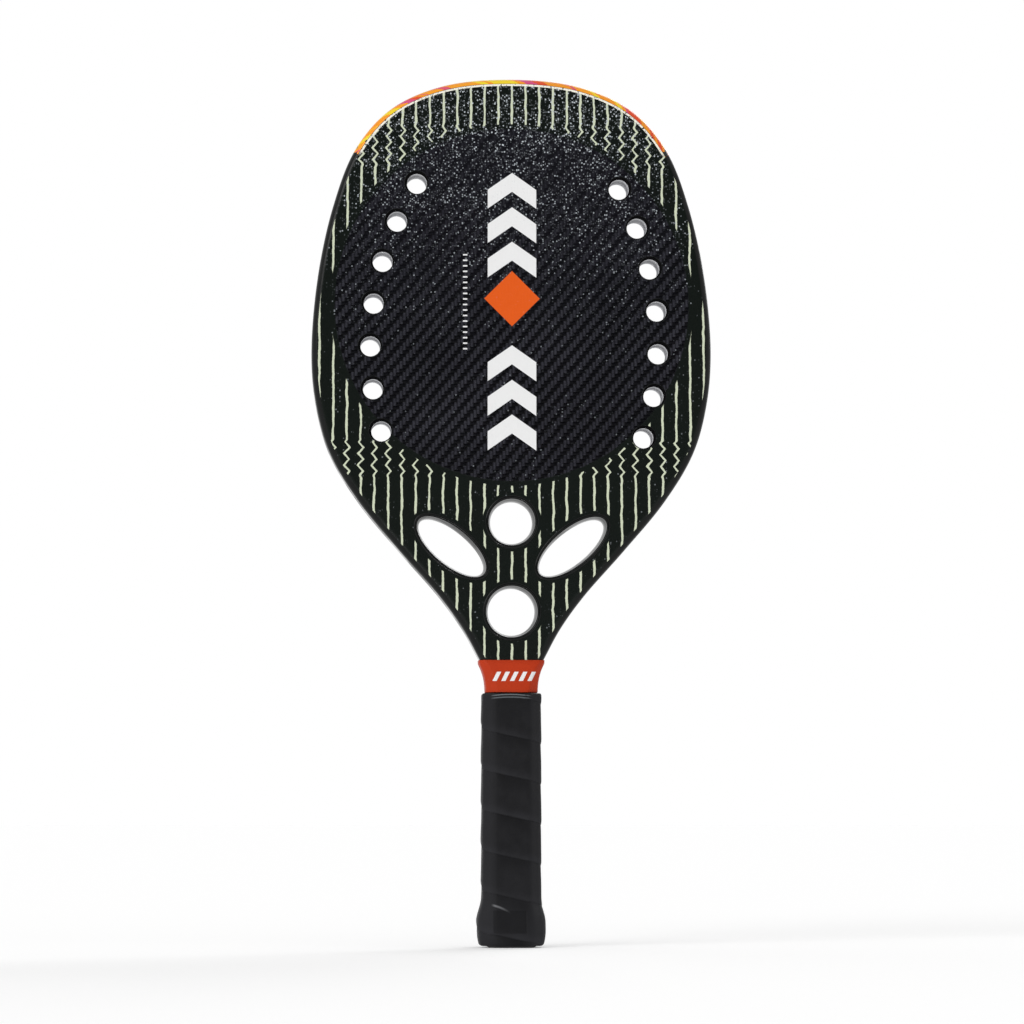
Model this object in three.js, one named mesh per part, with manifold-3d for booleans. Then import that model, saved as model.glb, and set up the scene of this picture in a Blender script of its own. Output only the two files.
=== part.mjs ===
// A beach tennis racket, in millimetres: a hollow carbon hoop whose two ends run down into
// the handle, a foam core and a throat piece inside the hoop, a skin on each face, and a
// handle built up from foam plates, a butt cap and wrapped grips.
// It is drawn lying flat: x runs across, y from the butt to the tip, z towards the front.
// The last group stands it upright on its butt, with its front towards -Y.
import * as THREE from "three";
import { mergeVertices } from "three/addons/utils/BufferGeometryUtils.js";
import Module from "manifold-3d";

const wasm = await Module();
wasm.setup();

// Overall sizes
const racketLength = 500;
const headHalfWidth = 115.2;
const headThickness = 22;
const gripLength = 145;
const collarHeight = 18.9;
const neckHalfWidth = 18.3;
const armHalfWidth = 13.4;
const neckPower = 2.4; // how late the arms spread towards the neck
const gap = 0.3; // between two pieces that touch
const overrun = 2; // how far a cutter passes the face that it cuts

// Hoop
const hoopWidth = 10;
const hoopWall = 1.6;
const rimRadius = 4.5;
const innerChamfer = 1;
const cavityChamfer = 2;
const rimLand = 0.5; // flat between the rounded rim and the rebate
const rebateSlope = 0.1;
const armRidge = 0.2;
const rimTaperLength = 5;
const foamRecess = 0.5;

// Skins and edge guard
const skinThickness = 1;
const guardThickness = 0.5;
const guardHalfSpan = 107;
const guardEdgeDegrees = 111;
const recessEdgeDegrees = 107;
const rimEdgeDegrees = 103;
const rimArcDegrees = [130, 155, 180];

// Drilled holes
const drillRadius = 6.4;
const drillPitch = 24.8;
const drillArcRadius = 184.4;
const drillWeb = 15.3; // between the hoop and the nearest hole of an unshifted row
const drillRise = 4.7; // from the widest point up to the hole nearest the rim
const drillTurnDegrees = 1.25;
const drillShift = 1.5;
const drillStartShare = -0.1565; // first hole of a row, of the head's height
const drillEndShare = 0.3; // the furthest that the last hole may lie

// Throat piece and its openings
const bridgeTopRadius = 300;
const bridgeCrest = 6.1; // above the upper opening
const bridgeFoot = 9; // below the lower opening
const lipWidth = 2;
const lipRound = 0.6;
const upperRadius = 13.3;
const lowerRadius = 14.7;
const lowerWeb = 7.5; // from the lower opening across to the hoop, level with its middle
const sideLong = 24.2;
const sideShort = 10.4;
const sideWeb = 3.1; // between the hoop and a side opening
const sideLeanDegrees = 8.5; // how much less a side opening leans than the hoop beside it
const upperRiseShare = 0.2356; // above the neck, of the head's height
const sideRiseShare = 0.416; // of the way from the lower opening up to the upper one

// Handle
const palletThickness = 1.8;
const palletTopShare = 0.66;
const palletTipShare = 0.55;
const handleEnd = 4.6;
const coreRound = 1;
const flareDepth = 2.6;
const flareTop = 28;
const flareFull = 15;
const domeHeight = 10;
const domeShare = 0.7;
const capHeight = 22;
const capChamfer = 1.2;
const doorRadius = 8.5;
const doorThickness = 1.5;
const stapleWidth = 11;
const stapleWire = 0.7;
const stapleBand = 1.2;
const stapleFoot = 0.5; // foam left under a staple's points
const stapleLevels = [8.2, 14.4];

// Grips and collar
const baseGripBottom = 2.2;
const baseGripThickness = 1.4;
const tapeWidth = 7;
const tapeThickness = 0.9;
const wrapClearance = 0.5;
const wrapBottom = 1;
const wrapPitch = 23;
const wrapGap = 0.5;
const wrapThick = 1.7;
const wrapThin = 1;
const wrapLeast = 1.5;
const collarWall = 1.3;
const collarLip = 0.45;
const collarLipHeight = 3.5;

// Fineness of the curves
const headSteps = 64;
const drillSides = 16;
const openingSides = 28;
const archSteps = 14;
const wrapRows = 4;
const doorSides = 32;

// Values worked out from the sizes above
const gripTop = gripLength;
const neckY = gripLength + collarHeight;
const headHeight = racketLength - neckY;
const rimHalf = headThickness / 2;
const flatHalf = rimHalf - skinThickness - gap;
const armRimHalf = flatHalf + armRidge;
const palletInner = armRimHalf + gap;
const palletHalf = palletInner + palletThickness;
const palletTop = gripTop + collarHeight * palletTopShare;
const bevelPerRadius = 2 - Math.SQRT2;
const handleBevel = palletHalf - armRimHalf + rimRadius * bevelPerRadius;
const rimTaperTop = neckY - gap;
const rimTaperBottom = neckY - rimTaperLength;
const skinBottom = neckY + gap;
const capFloor = handleEnd - gap;
const wrapInner = gap + baseGripThickness + wrapClearance;
const rebateInset = rimRadius + rimLand;
const upperY = neckY + headHeight * upperRiseShare;
const bridgeTop = upperY + upperRadius + bridgeCrest;
const guardRecess = guardThickness + gap;

// Outline of the head, from the widest point up to the tip, as shares of the half width
// and of the height above the widest point, then from the widest point down to the neck,
// as shares of the width and the height that are left above the neck.
const widestShare = 0.527;
const crownShares = [
  [0.969, 0.277],
  [0.892, 0.537],
  [0.783, 0.74],
  [0.609, 0.886],
  [0.349, 0.973],
];
const flankShares = [
  [0, 0],
  [0.097, 0.098],
  [0.234, 0.203],
  [0.485, 0.359],
  [0.722, 0.516],
  [0.893, 0.673],
  [0.973, 0.829],
];

const widestY = neckY + headHeight * widestShare;

function headCurve() {
  const right = [
    ...flankShares.map(([across, up]) => [
      neckHalfWidth + (headHalfWidth - neckHalfWidth) * across,
      neckY + (widestY - neckY) * up,
    ]),
    [headHalfWidth, widestY],
    ...crownShares.map(([across, up]) => [
      headHalfWidth * across,
      widestY + (racketLength - widestY) * up,
    ]),
  ];
  const left = right.map(([x, y]) => new THREE.Vector3(-x, y, 0));
  const tip = new THREE.Vector3(0, racketLength, 0);
  const back = right.toReversed().map(([x, y]) => new THREE.Vector3(x, y, 0));
  const curve = new THREE.CatmullRomCurve3([...left, tip, ...back], false, "centripetal");
  curve.arcLengthDivisions = headSteps * headSteps;
  return curve;
}

// Half the width over the two arms, below the head.
function armWidthAt(y) {
  const up = Math.max(0, (y - gripTop) / collarHeight);
  return armHalfWidth + (neckHalfWidth - armHalfWidth) * up ** neckPower;
}

// Half the thickness of the rim, which gets thinner under the collar.
function rimHalfAt(y) {
  const share = THREE.MathUtils.clamp((y - rimTaperBottom) / (rimTaperTop - rimTaperBottom), 0, 1);
  return armRimHalf + (rimHalf - armRimHalf) * share;
}

// Stations along the outline, from the left arm's end over the tip to the right arm's end.
// Each holds a point, the inward direction, and its distance from the tip along the rim.
// The arm and the head share one direction at the neck, so that no inner side folds there.
function outlineStations() {
  const curve = headCurve();
  const length = curve.getLength();
  const marks = [guardHalfSpan, guardHalfSpan + gap, guardHalfSpan + 2 * gap];
  const ends = marks.flatMap((mark) => [length / 2 - mark, length / 2 + mark]);
  const even = Array.from({ length: headSteps + 1 }, (_, i) => (length * i) / headSteps);
  const clear = even.filter((s) => ends.every((end) => Math.abs(s - end) > hoopWidth / 4));
  const head = [...clear, ...ends].sort((a, b) => a - b).map((s) => {
    const point = curve.getPointAt(s / length);
    const along = curve.getTangentAt(s / length);
    return { x: point.x, y: point.y, nx: along.y, ny: -along.x, fromTip: Math.abs(s - length / 2) };
  });
  const levels = [handleEnd, gripTop, (gripTop + rimTaperBottom) / 2, rimTaperBottom, rimTaperTop];
  const arm = levels.map((y) => {
    const up = Math.max(0, (y - gripTop) / collarHeight);
    const slope = (neckPower * (neckHalfWidth - armHalfWidth) * up ** (neckPower - 1)) / collarHeight;
    const size = Math.hypot(1, slope);
    return { x: -armWidthAt(y), y, nx: 1 / size, ny: slope / size, fromTip: length };
  });
  const [below, neck] = [arm.at(-1), head[0]];
  const shared = new THREE.Vector2(below.nx + neck.nx, below.ny + neck.ny).normalize();
  Object.assign(below, { nx: shared.x, ny: shared.y });
  Object.assign(neck, { nx: shared.x, ny: shared.y });
  Object.assign(head.at(-1), { nx: -shared.x, ny: shared.y });
  const mirrored = arm.toReversed().map((p) => ({ ...p, x: -p.x, nx: -p.nx }));
  return [...arm, ...head, ...mirrored];
}

const stations = outlineStations();

// The outline moved inward by a distance, as points in the plane.
function insetOutline(distance) {
  return stations.map((p) => new THREE.Vector2(p.x + p.nx * distance, p.y + p.ny * distance));
}

// The part of a curve that lies above a level, which may change across the racket.
function above(curve, level) {
  const kept = [];
  for (let i = 0; i < curve.length; i++) {
    const here = curve[i].y - level(curve[i].x);
    if (i > 0) {
      const before = curve[i - 1].y - level(curve[i - 1].x);
      if (before * here < 0) kept.push(curve[i - 1].clone().lerp(curve[i], before / (before - here)));
    }
    if (here >= 0) kept.push(curve[i].clone());
  }
  return kept;
}

// The parts of a curve between two levels, the left one rising and the right one falling.
function between(curve, low, high) {
  const left = curve.filter((p) => p.x < 0);
  const right = curve.filter((p) => p.x > 0);
  const lowered = (side) => {
    const flipped = above(side, low).map((p) => new THREE.Vector2(p.x, -p.y));
    return above(flipped, (x) => -high(x)).map((p) => new THREE.Vector2(p.x, -p.y));
  };
  return [lowered(left), lowered(right)];
}

// Turns a geometry's faces outward where its volume comes out negative.
function facingOut(geometry) {
  const p = geometry.attributes.position;
  const at = (i) => new THREE.Vector3().fromBufferAttribute(p, i);
  const index = geometry.index.array;
  let volume = 0;
  for (let i = 0; i < index.length; i += 3) {
    volume += at(index[i]).dot(at(index[i + 1]).cross(at(index[i + 2])));
  }
  if (volume < 0) {
    for (let i = 0; i < index.length; i += 3) {
      [index[i + 1], index[i + 2]] = [index[i + 2], index[i + 1]];
    }
  }
  return geometry;
}

// A geometry from points and triangles.
function geometryOf(points, index) {
  const geometry = new THREE.BufferGeometry();
  geometry.setAttribute("position", new THREE.Float32BufferAttribute(points.flatMap((p) => p.toArray()), 3));
  geometry.setIndex(index);
  return facingOut(geometry);
}

// The triangles that join each ring of points to the next one.
function walls(rings, count, first) {
  const index = [];
  for (let i = 0; i + 1 < rings; i++) {
    for (let j = 0; j < count; j++) {
      const a = first + i * count + j;
      const b = first + i * count + ((j + 1) % count);
      index.push(a, b, a + count, b, b + count, a + count);
    }
  }
  return index;
}

// A solid swept through places. Each place turns a flat point of its section into a point
// in space, and sections may have a hole, which runs through from end to end.
function sweep(places, sectionAt, holeAt) {
  const outer = places.map((place, i) => sectionAt(place, i));
  const inner = holeAt ? places.map((place, i) => holeAt(place, i)) : [];
  const spread = (rings) => rings.flatMap((ring, i) => ring.map((uv) => places[i].at(uv)));
  const points = [...spread(outer), ...spread(inner)];
  const count = outer[0].length;
  const index = walls(places.length, count, 0);
  const holeStart = count * places.length;
  const holeCount = holeAt ? inner[0].length : 0;
  const holeWalls = holeAt ? walls(places.length, holeCount, holeStart) : [];
  for (let i = 0; i < holeWalls.length; i += 3) {
    index.push(holeWalls[i], holeWalls[i + 2], holeWalls[i + 1]);
  }
  for (const end of [0, places.length - 1]) {
    const holes = holeAt ? [inner[end]] : [];
    const faces = THREE.ShapeUtils.triangulateShape(outer[end], holes);
    const anticlockwise = THREE.ShapeUtils.area(outer[end]) > 0;
    const name = (k) => (k < count ? end * count + k : holeStart + end * holeCount + k - count);
    const turned = (end === 0) === anticlockwise;
    for (const [a, b, c] of faces) {
      index.push(name(a), name(turned ? c : b), name(turned ? b : c));
    }
  }
  return geometryOf(points, index);
}

// A solid through rings of points, with a fan over each end.
function loft(rings) {
  const count = rings[0].length;
  const points = rings.flat();
  const index = walls(rings.length, count, 0);
  const last = points.length - count;
  for (let j = 1; j + 1 < count; j++) {
    index.push(0, j + 1, j);
    index.push(last, last + j, last + j + 1);
  }
  return geometryOf(points, index);
}

// A sleeve: rings of points that follow a closed profile back to its first ring.
function sleeve(rings) {
  const count = rings[0].length;
  const index = walls(rings.length + 1, count, 0).map((i) => i % (rings.length * count));
  return geometryOf(rings.flat(), index);
}

// A flat plate in the plane of the face, from one height to another.
function plate(outline, holes, bottom, top) {
  const shape = new THREE.Shape(outline);
  for (const hole of holes) shape.holes.push(new THREE.Path(hole));
  const geometry = new THREE.ExtrudeGeometry(shape, { depth: top - bottom, bevelEnabled: false });
  return geometry.translate(0, 0, bottom);
}

// A solid that can be joined and cut, and back again.
function solid(geometry) {
  const bare = geometry.index ? geometry.toNonIndexed() : geometry.clone();
  bare.deleteAttribute("normal");
  bare.deleteAttribute("uv");
  const merged = mergeVertices(bare);
  const made = new wasm.Mesh({
    numProp: 3,
    vertProperties: merged.attributes.position.array,
    triVerts: new Uint32Array(merged.index.array),
  });
  return new wasm.Manifold(made);
}

function geometryFrom(manifold) {
  const made = manifold.getMesh();
  const geometry = new THREE.BufferGeometry();
  geometry.setAttribute("position", new THREE.Float32BufferAttribute(made.vertProperties, 3));
  geometry.setIndex(Array.from(made.triVerts));
  return geometry;
}

function meshOf(name, geometry, color, roughness, metalness) {
  const flat = geometry.index ? geometry.toNonIndexed() : geometry;
  flat.deleteAttribute("normal");
  flat.computeVertexNormals();
  const mesh = new THREE.Mesh(flat, new THREE.MeshStandardMaterial({ color, roughness, metalness }));
  mesh.name = name;
  return mesh;
}

// Places along the rim: u runs inward from the outline, v towards the front.
const rimPlaces = stations.map((p) => ({
  ...p,
  at: (uv) => new THREE.Vector3(p.x + p.nx * uv.x, p.y + p.ny * uv.x, uv.y),
}));

// A point on the rounded rim, a depth below its surface, from 90 at the front face to 180
// at the side.
function rimPoint(half, degrees, depth) {
  const angle = THREE.MathUtils.degToRad(degrees);
  const radius = rimRadius - depth;
  return new THREE.Vector2(rimRadius + radius * Math.cos(angle), half - rimRadius + radius * Math.sin(angle));
}

// The front half of a section and its mirror image behind.
function mirrored(front) {
  return [...front, ...front.toReversed().map((p) => new THREE.Vector2(p.x, -p.y))];
}

// Section of the hoop, from its inner side over the rebate for the skin to the rounded rim.
// Round the top of the head the rim is set back, and the edge guard lies in that recess.
function hoopSection(place) {
  const half = place.fromTip > guardHalfSpan + 2 * gap ? rimHalfAt(place.y) : rimHalf;
  const depth = THREE.MathUtils.clamp((guardHalfSpan + 2 * gap - place.fromTip) / gap, 0, 1) * guardRecess;
  return mirrored([
    new THREE.Vector2(hoopWidth, flatHalf - innerChamfer),
    new THREE.Vector2(hoopWidth - innerChamfer, flatHalf),
    new THREE.Vector2(rebateInset, flatHalf),
    new THREE.Vector2(rebateInset - rebateSlope, half),
    rimPoint(half, 90, 0),
    rimPoint(half, rimEdgeDegrees, 0),
    rimPoint(half, recessEdgeDegrees, depth),
    ...rimArcDegrees.map((degrees) => rimPoint(half, degrees, depth)),
  ]);
}

// Section of the hoop's cavity, drawn in on all sides by a clearance.
function cavitySection(clearance) {
  const top = flatHalf - hoopWall - clearance;
  const chamfer = cavityChamfer - clearance * bevelPerRadius;
  const outside = hoopWall + clearance;
  return mirrored([
    new THREE.Vector2(hoopWidth - outside, top),
    new THREE.Vector2(outside + chamfer, top),
    new THREE.Vector2(outside, top - chamfer),
  ]);
}

function guardSection() {
  const angles = [guardEdgeDegrees, ...rimArcDegrees];
  const outside = mirrored(angles.map((degrees) => rimPoint(rimHalf, degrees, 0)));
  const inside = mirrored(angles.map((degrees) => rimPoint(rimHalf, degrees, guardThickness)));
  return [...outside, ...inside.toReversed()];
}

function hoop() {
  const tube = sweep(rimPlaces, hoopSection, () => cavitySection(0));
  const ends = rimPlaces.map((place, i) => {
    const level = place.y === handleEnd ? handleEnd + foamRecess : place.y;
    return { ...place, y: level, at: rimPlaces[i].y === level ? place.at : (uv) => place.at(uv).setY(level) };
  });
  const foam = sweep(ends, () => cavitySection(gap));
  const guarded = rimPlaces.filter((place) => place.fromTip <= guardHalfSpan + gap / 2);
  const guard = sweep(guarded, guardSection);
  return [
    meshOf("frame_tube", tube, 0x14161a, 0.25, 0.1),
    meshOf("frame_foam", foam, 0xd9cfa8, 0.95, 0),
    meshOf("head_edge_guard", guard, 0xf09a1e, 0.35, 0),
  ];
}

// A ring of points round an ellipse that is turned in the plane of the face.
function ellipse(centre, grow, sides) {
  const turn = THREE.MathUtils.degToRad(centre.degrees);
  const long = centre.long + grow;
  const short = centre.short + grow;
  return Array.from({ length: sides }, (_, i) => {
    const angle = (2 * Math.PI * i) / sides;
    const point = new THREE.Vector2(long * Math.cos(angle), short * Math.sin(angle));
    return point.rotateAround(new THREE.Vector2(), turn).add(new THREE.Vector2(centre.x, centre.y));
  });
}

// The height where the hoop's inner sides are as far from the middle as asked.
function levelWhere(halfWidth) {
  const inner = insetOutline(hoopWidth + gap);
  const i = inner.findIndex((p) => -p.x > halfWidth);
  const share = (halfWidth + inner[i - 1].x) / (inner[i - 1].x - inner[i].x);
  return THREE.MathUtils.lerp(inner[i - 1].y, inner[i].y, share);
}

const lowerY = levelWhere(lowerRadius + lowerWeb);
const bridgeBottom = lowerY - lowerRadius - bridgeFoot;

// The side openings follow the hoop: each lies a web inside it, a little less steep.
function sideOpening(side) {
  const level = THREE.MathUtils.lerp(lowerY, upperY, sideRiseShare);
  const i = stations.findIndex((p) => p.y > level);
  const [below, over] = [stations[i - 1], stations[i]];
  const share = (level - below.y) / (over.y - below.y);
  const mix = (key) => THREE.MathUtils.lerp(below[key], over[key], share);
  const inset = hoopWidth + gap + sideWeb + sideShort;
  const size = Math.hypot(mix("nx"), mix("ny"));
  const x = mix("x") + (mix("nx") / size) * inset;
  const y = level + (mix("ny") / size) * inset;
  const degrees = 90 - THREE.MathUtils.radToDeg(Math.atan2(mix("ny"), mix("nx"))) - sideLeanDegrees;
  return { x: -side * x, y, long: sideLong, short: sideShort, degrees: side * degrees };
}

const upperOpening = { x: 0, y: upperY, long: upperRadius, short: upperRadius, degrees: 0 };
const lowerOpening = { x: 0, y: lowerY, long: lowerRadius, short: lowerRadius, degrees: 0 };
const openings = [upperOpening, lowerOpening, sideOpening(1), sideOpening(-1)];

// The two rows of drilled holes lie on arcs, and the whole pattern is a little turned and
// shifted on the face, as it is drilled in one set-up.
function drillCentres() {
  const rowReach = headHalfWidth - hoopWidth - gap - drillWeb - drillRadius;
  const rowY = widestY + drillRise;
  const rowStart = headHeight * drillStartShare;
  const count = Math.floor((headHeight * drillEndShare - rowStart) / drillPitch) + 1;
  const middle = new THREE.Vector2(0, rowY);
  const turn = -THREE.MathUtils.degToRad(drillTurnDegrees);
  return [-1, 1].flatMap((side) =>
    Array.from({ length: count }, (_, i) => {
      const angle = (rowStart + i * drillPitch) / drillArcRadius;
      const reach = rowReach - drillArcRadius * (1 - Math.cos(angle));
      const centre = new THREE.Vector2(side * reach, rowY + drillArcRadius * Math.sin(angle));
      return centre.rotateAround(middle, turn).add(new THREE.Vector2(drillShift, 0));
    }),
  );
}

const drilled = drillCentres().map((centre) =>
  ellipse({ x: centre.x, y: centre.y, long: drillRadius, short: drillRadius, degrees: 0 }, 0, drillSides),
);

// The arched edge between the throat piece and the core.
const archY = (x) => bridgeTop + (x * x) / (2 * bridgeTopRadius);

function arch(from, to, lift) {
  return Array.from({ length: archSteps - 1 }, (_, i) => {
    const x = from + ((to - from) * (i + 1)) / archSteps;
    return new THREE.Vector2(x, archY(x) + lift);
  });
}

function skins() {
  const outline = above(insetOutline(rebateInset + gap), () => skinBottom);
  const windows = openings.map((opening) => ellipse(opening, lipWidth + gap, openingSides));
  const front = plate(outline, [...drilled, ...windows], rimHalf - skinThickness, rimHalf);
  const rear = plate(outline, [...drilled, ...windows], -rimHalf, skinThickness - rimHalf);
  return [
    meshOf("front_skin", front, 0x1b1d22, 0.4, 0.2),
    meshOf("rear_skin", rear, 0x1b1d22, 0.4, 0.2),
  ];
}

function core() {
  const side = above(insetOutline(hoopWidth + gap), (x) => archY(x) + gap);
  const outline = [...side, ...arch(side.at(-1).x, side[0].x, gap)];
  return meshOf("eva_core", plate(outline, drilled, -flatHalf, flatHalf), 0xe4e5e8, 0.9, 0);
}

// The throat piece: a thick plate between the arms, with a rounded lip through each opening.
function bridge() {
  const [left, right] = between(insetOutline(hoopWidth + gap), () => bridgeBottom, archY);
  const outline = [...left, ...arch(left.at(-1).x, right[0].x, 0), ...right];
  const wide = openings.map((opening) => ellipse(opening, lipWidth / 2, openingSides));
  let body = solid(plate(outline, wide, -flatHalf, flatHalf));
  for (const opening of openings) {
    const ring = new THREE.Shape(ellipse(opening, lipWidth - lipRound, openingSides));
    ring.holes.push(new THREE.Path(ellipse(opening, lipRound, openingSides)));
    const lip = new THREE.ExtrudeGeometry(ring, {
      depth: headThickness - 2 * lipRound,
      bevelThickness: lipRound,
      bevelSize: lipRound,
      bevelSegments: 1,
    });
    body = body.add(solid(lip.translate(0, 0, lipRound - rimHalf)));
  }
  return meshOf("throat_bridge", geometryFrom(body), 0x101214, 0.3, 0.1);
}

// A ring of points round the handle's rounded octagon: three to each corner.
function octagonRing(y, halfWidth, halfDepth, bevel, round) {
  const corners = [
    [halfWidth, halfDepth - bevel],
    [halfWidth - bevel, halfDepth],
    [bevel - halfWidth, halfDepth],
    [-halfWidth, halfDepth - bevel],
    [-halfWidth, bevel - halfDepth],
    [bevel - halfWidth, -halfDepth],
    [halfWidth - bevel, -halfDepth],
    [halfWidth, bevel - halfDepth],
  ].map(([x, z]) => new THREE.Vector3(x, y, z));
  const cut = round * Math.tan(Math.PI / 8);
  return corners.flatMap((corner, i) => {
    const towards = (other) => corner.clone().add(other.clone().sub(corner).setLength(cut));
    const before = towards(corners.at(i - 1));
    const after = towards(corners[(i + 1) % corners.length]);
    const middle = before.clone().add(after).addScaledVector(corner, 2).divideScalar(4);
    return [before, middle, after];
  });
}

// How far the butt flares out at a height: full above the dome, then fading to the handle.
function flareAt(y) {
  const rise = 1 - THREE.MathUtils.smoothstep(y, flareFull, flareTop);
  const low = Math.max(0, (domeHeight - y) / domeHeight);
  return flareDepth * rise * (1 - domeShare * low * low);
}

// A ring round the handle's core, moved outward by an offset.
function coreRing(y, offset) {
  const bevel = handleBevel + offset * bevelPerRadius;
  return octagonRing(y, armHalfWidth + offset, palletHalf + offset, bevel, coreRound + offset);
}

const gripRing = (y, offset) => coreRing(y, offset + flareAt(y));

// Levels where the rings of the cap and the base grip lie, closer where the butt flares.
const flareShares = [0.1, 0.2, 0.32, 0.45, 0.55, 0.66, 0.77, 0.88, 1];
const flareLevels = flareShares.map((share) => flareTop * share);

// A U-shaped wire staple in the front of the cap, grown by a clearance to cut its seat.
function staple(level, grow, above) {
  const outside = stapleWidth / 2 + grow;
  const inside = stapleWidth / 2 - stapleWire - grow;
  const crown = palletHalf + flareAt(level) + above;
  const under = palletHalf + flareAt(level) - stapleWire - grow;
  const foot = palletInner + stapleFoot - grow;
  const outline = [
    [-outside, crown],
    [-outside, foot],
    [-inside, foot],
    [-inside, under],
    [inside, under],
    [inside, foot],
    [outside, foot],
    [outside, crown],
  ].map(([x, z]) => new THREE.Vector2(x, z));
  const band = stapleBand + 2 * grow;
  const wire = new THREE.ExtrudeGeometry(new THREE.Shape(outline), { depth: band, bevelEnabled: false });
  return wire.rotateX(Math.PI / 2).translate(0, level + band / 2, 0);
}

const stapleSeats = stapleLevels.flatMap((level) => {
  const seat = staple(level, gap, overrun);
  return [seat, seat.clone().rotateY(Math.PI)];
});

function cutStapleSeats(body) {
  return stapleSeats.reduce((left, seat) => left.subtract(solid(seat)), body);
}

function buttCap() {
  const levels = [capChamfer, ...flareLevels.filter((y) => y > capChamfer && y < capHeight), capHeight];
  const outside = [coreRing(0, flareAt(0) - capChamfer), ...levels.map((y) => gripRing(y, 0))];
  const cavity = loft([coreRing(capFloor, gap), coreRing(capHeight + overrun, gap)]);
  const seatRadius = doorRadius + gap;
  const seatDepth = doorThickness + gap;
  const seat = new THREE.CylinderGeometry(seatRadius, seatRadius, seatDepth + overrun, doorSides);
  seat.translate(0, (seatDepth - overrun) / 2, 0);
  const cup = solid(loft(outside)).subtract(solid(cavity)).subtract(solid(seat));
  const door = meshOf(
    "butt_door",
    new THREE.CylinderGeometry(doorRadius, doorRadius, doorThickness, doorSides),
    0x202224,
    0.5,
    0,
  );
  door.position.y = doorThickness / 2;
  return [meshOf("butt_cap", geometryFrom(cutStapleSeats(cup)), 0x1a1b1d, 0.55, 0), door];
}

function staples() {
  return stapleLevels.flatMap((level, i) =>
    ["front", "rear"].map((face) => {
      const mesh = meshOf("cap_staple_" + face + "_" + (i + 1), staple(level, 0, 0), 0xb9bcc0, 0.3, 0.9);
      mesh.rotation.y = face === "front" ? 0 : Math.PI;
      return mesh;
    }),
  );
}

// The foam plates on the front and the rear of the arms, bevelled to make the octagon, and
// thinner towards their tips under the collar.
function pallets() {
  const ring = (y, thickness) => {
    const top = palletInner + thickness;
    const narrow = armHalfWidth - handleBevel;
    const wide = narrow + thickness;
    return [
      new THREE.Vector3(-wide, y, palletInner),
      new THREE.Vector3(wide, y, palletInner),
      new THREE.Vector3(narrow, y, top),
      new THREE.Vector3(-narrow, y, top),
    ];
  };
  const tip = palletThickness * palletTipShare;
  const rings = [ring(handleEnd, palletThickness), ring(gripTop, palletThickness), ring(palletTop, tip)];
  const body = solid(loft(rings));
  const front = geometryFrom(cutStapleSeats(body));
  const rear = meshOf("pallet_rear", front.clone(), 0xc9bd8f, 0.9, 0);
  rear.rotation.y = Math.PI;
  return [meshOf("pallet_front", front, 0xc9bd8f, 0.9, 0), rear];
}

function spacer() {
  const [left, right] = between(insetOutline(hoopWidth + gap), () => handleEnd, () => bridgeBottom - gap);
  return meshOf("handle_spacer", plate([...left, ...right], [], -flatHalf, flatHalf), 0xcfc49a, 0.95, 0);
}

// A sleeve round the handle between two offsets, with rings at the given levels.
function gripSleeve(levels, inner, outer) {
  const inside = levels.map((y) => gripRing(y, inner));
  const outside = levels.map((y) => gripRing(y, outer));
  return sleeve([...inside, ...outside.toReversed()]);
}

function baseGrip() {
  const top = gripTop - tapeWidth - 2 * gap;
  const levels = [baseGripBottom, ...flareLevels.filter((y) => y > baseGripBottom), top];
  const grip = gripSleeve(levels, gap, gap + baseGripThickness);
  const tape = gripSleeve([top + gap, gripTop - gap], gap, gap + tapeThickness);
  return [
    meshOf("base_grip", grip, 0x1c1c1e, 0.9, 0),
    meshOf("finishing_tape", tape, 0x2c2c30, 0.6, 0),
  ];
}

// How far round the handle each point of a ring lies, as a share of the way round.
function ringShares() {
  const ring = coreRing(0, wrapInner);
  const steps = ring.map((p, i) => (i === 0 ? 0 : p.distanceTo(ring[i - 1])));
  const total = steps.reduce((sum, step) => sum + step, ring[0].distanceTo(ring.at(-1)));
  let walked = 0;
  return steps.map((step) => {
    walked += step;
    return walked / total;
  });
}

// The overgrip: one tape wound up the handle, each turn's lower edge standing over the turn
// below. Its first and last turns are cut level with the butt and the collar.
function overgripSections() {
  const shares = ringShares();
  const turns = Math.ceil((gripTop - wrapBottom) / wrapPitch) + 1;
  const sections = [];
  for (let i = 0; i < turns * shares.length; i++) {
    const k = i % shares.length;
    const turn = Math.floor(i / shares.length) + shares[k];
    const edge = wrapBottom + wrapPitch * (turn - 1);
    const low = Math.max(edge, wrapBottom);
    const high = Math.min(edge + wrapPitch - wrapGap, gripTop);
    if (high - low < wrapLeast) continue;
    const rows = Array.from({ length: wrapRows + 1 }, (_, row) => low + ((high - low) * row) / wrapRows);
    const inside = rows.map((y) => gripRing(y, wrapInner)[k]);
    const outside = rows.map((y) => {
      const thickness = THREE.MathUtils.lerp(wrapThick, wrapThin, (y - edge) / wrapPitch);
      return gripRing(y, wrapInner + thickness)[k];
    });
    sections.push([...inside, ...outside.toReversed()]);
  }
  return sections;
}

function leastGap(sections, apart) {
  let least = Infinity;
  for (let i = 0; i < sections.length; i++) {
    for (let j = i + apart; j < sections.length; j++) {
      for (const a of sections[i]) {
        for (const b of sections[j]) least = Math.min(least, a.distanceTo(b));
      }
    }
  }
  return least;
}

function overgrip() {
  const sections = overgripSections();
  const halfTurn = coreRing(0, wrapInner).length / 2;
  console.log("overgrip: least gap to itself", leastGap(sections, halfTurn).toFixed(2), "mm");
  return meshOf("overgrip", loft(sections), 0x232326, 0.85, 0);
}

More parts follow.
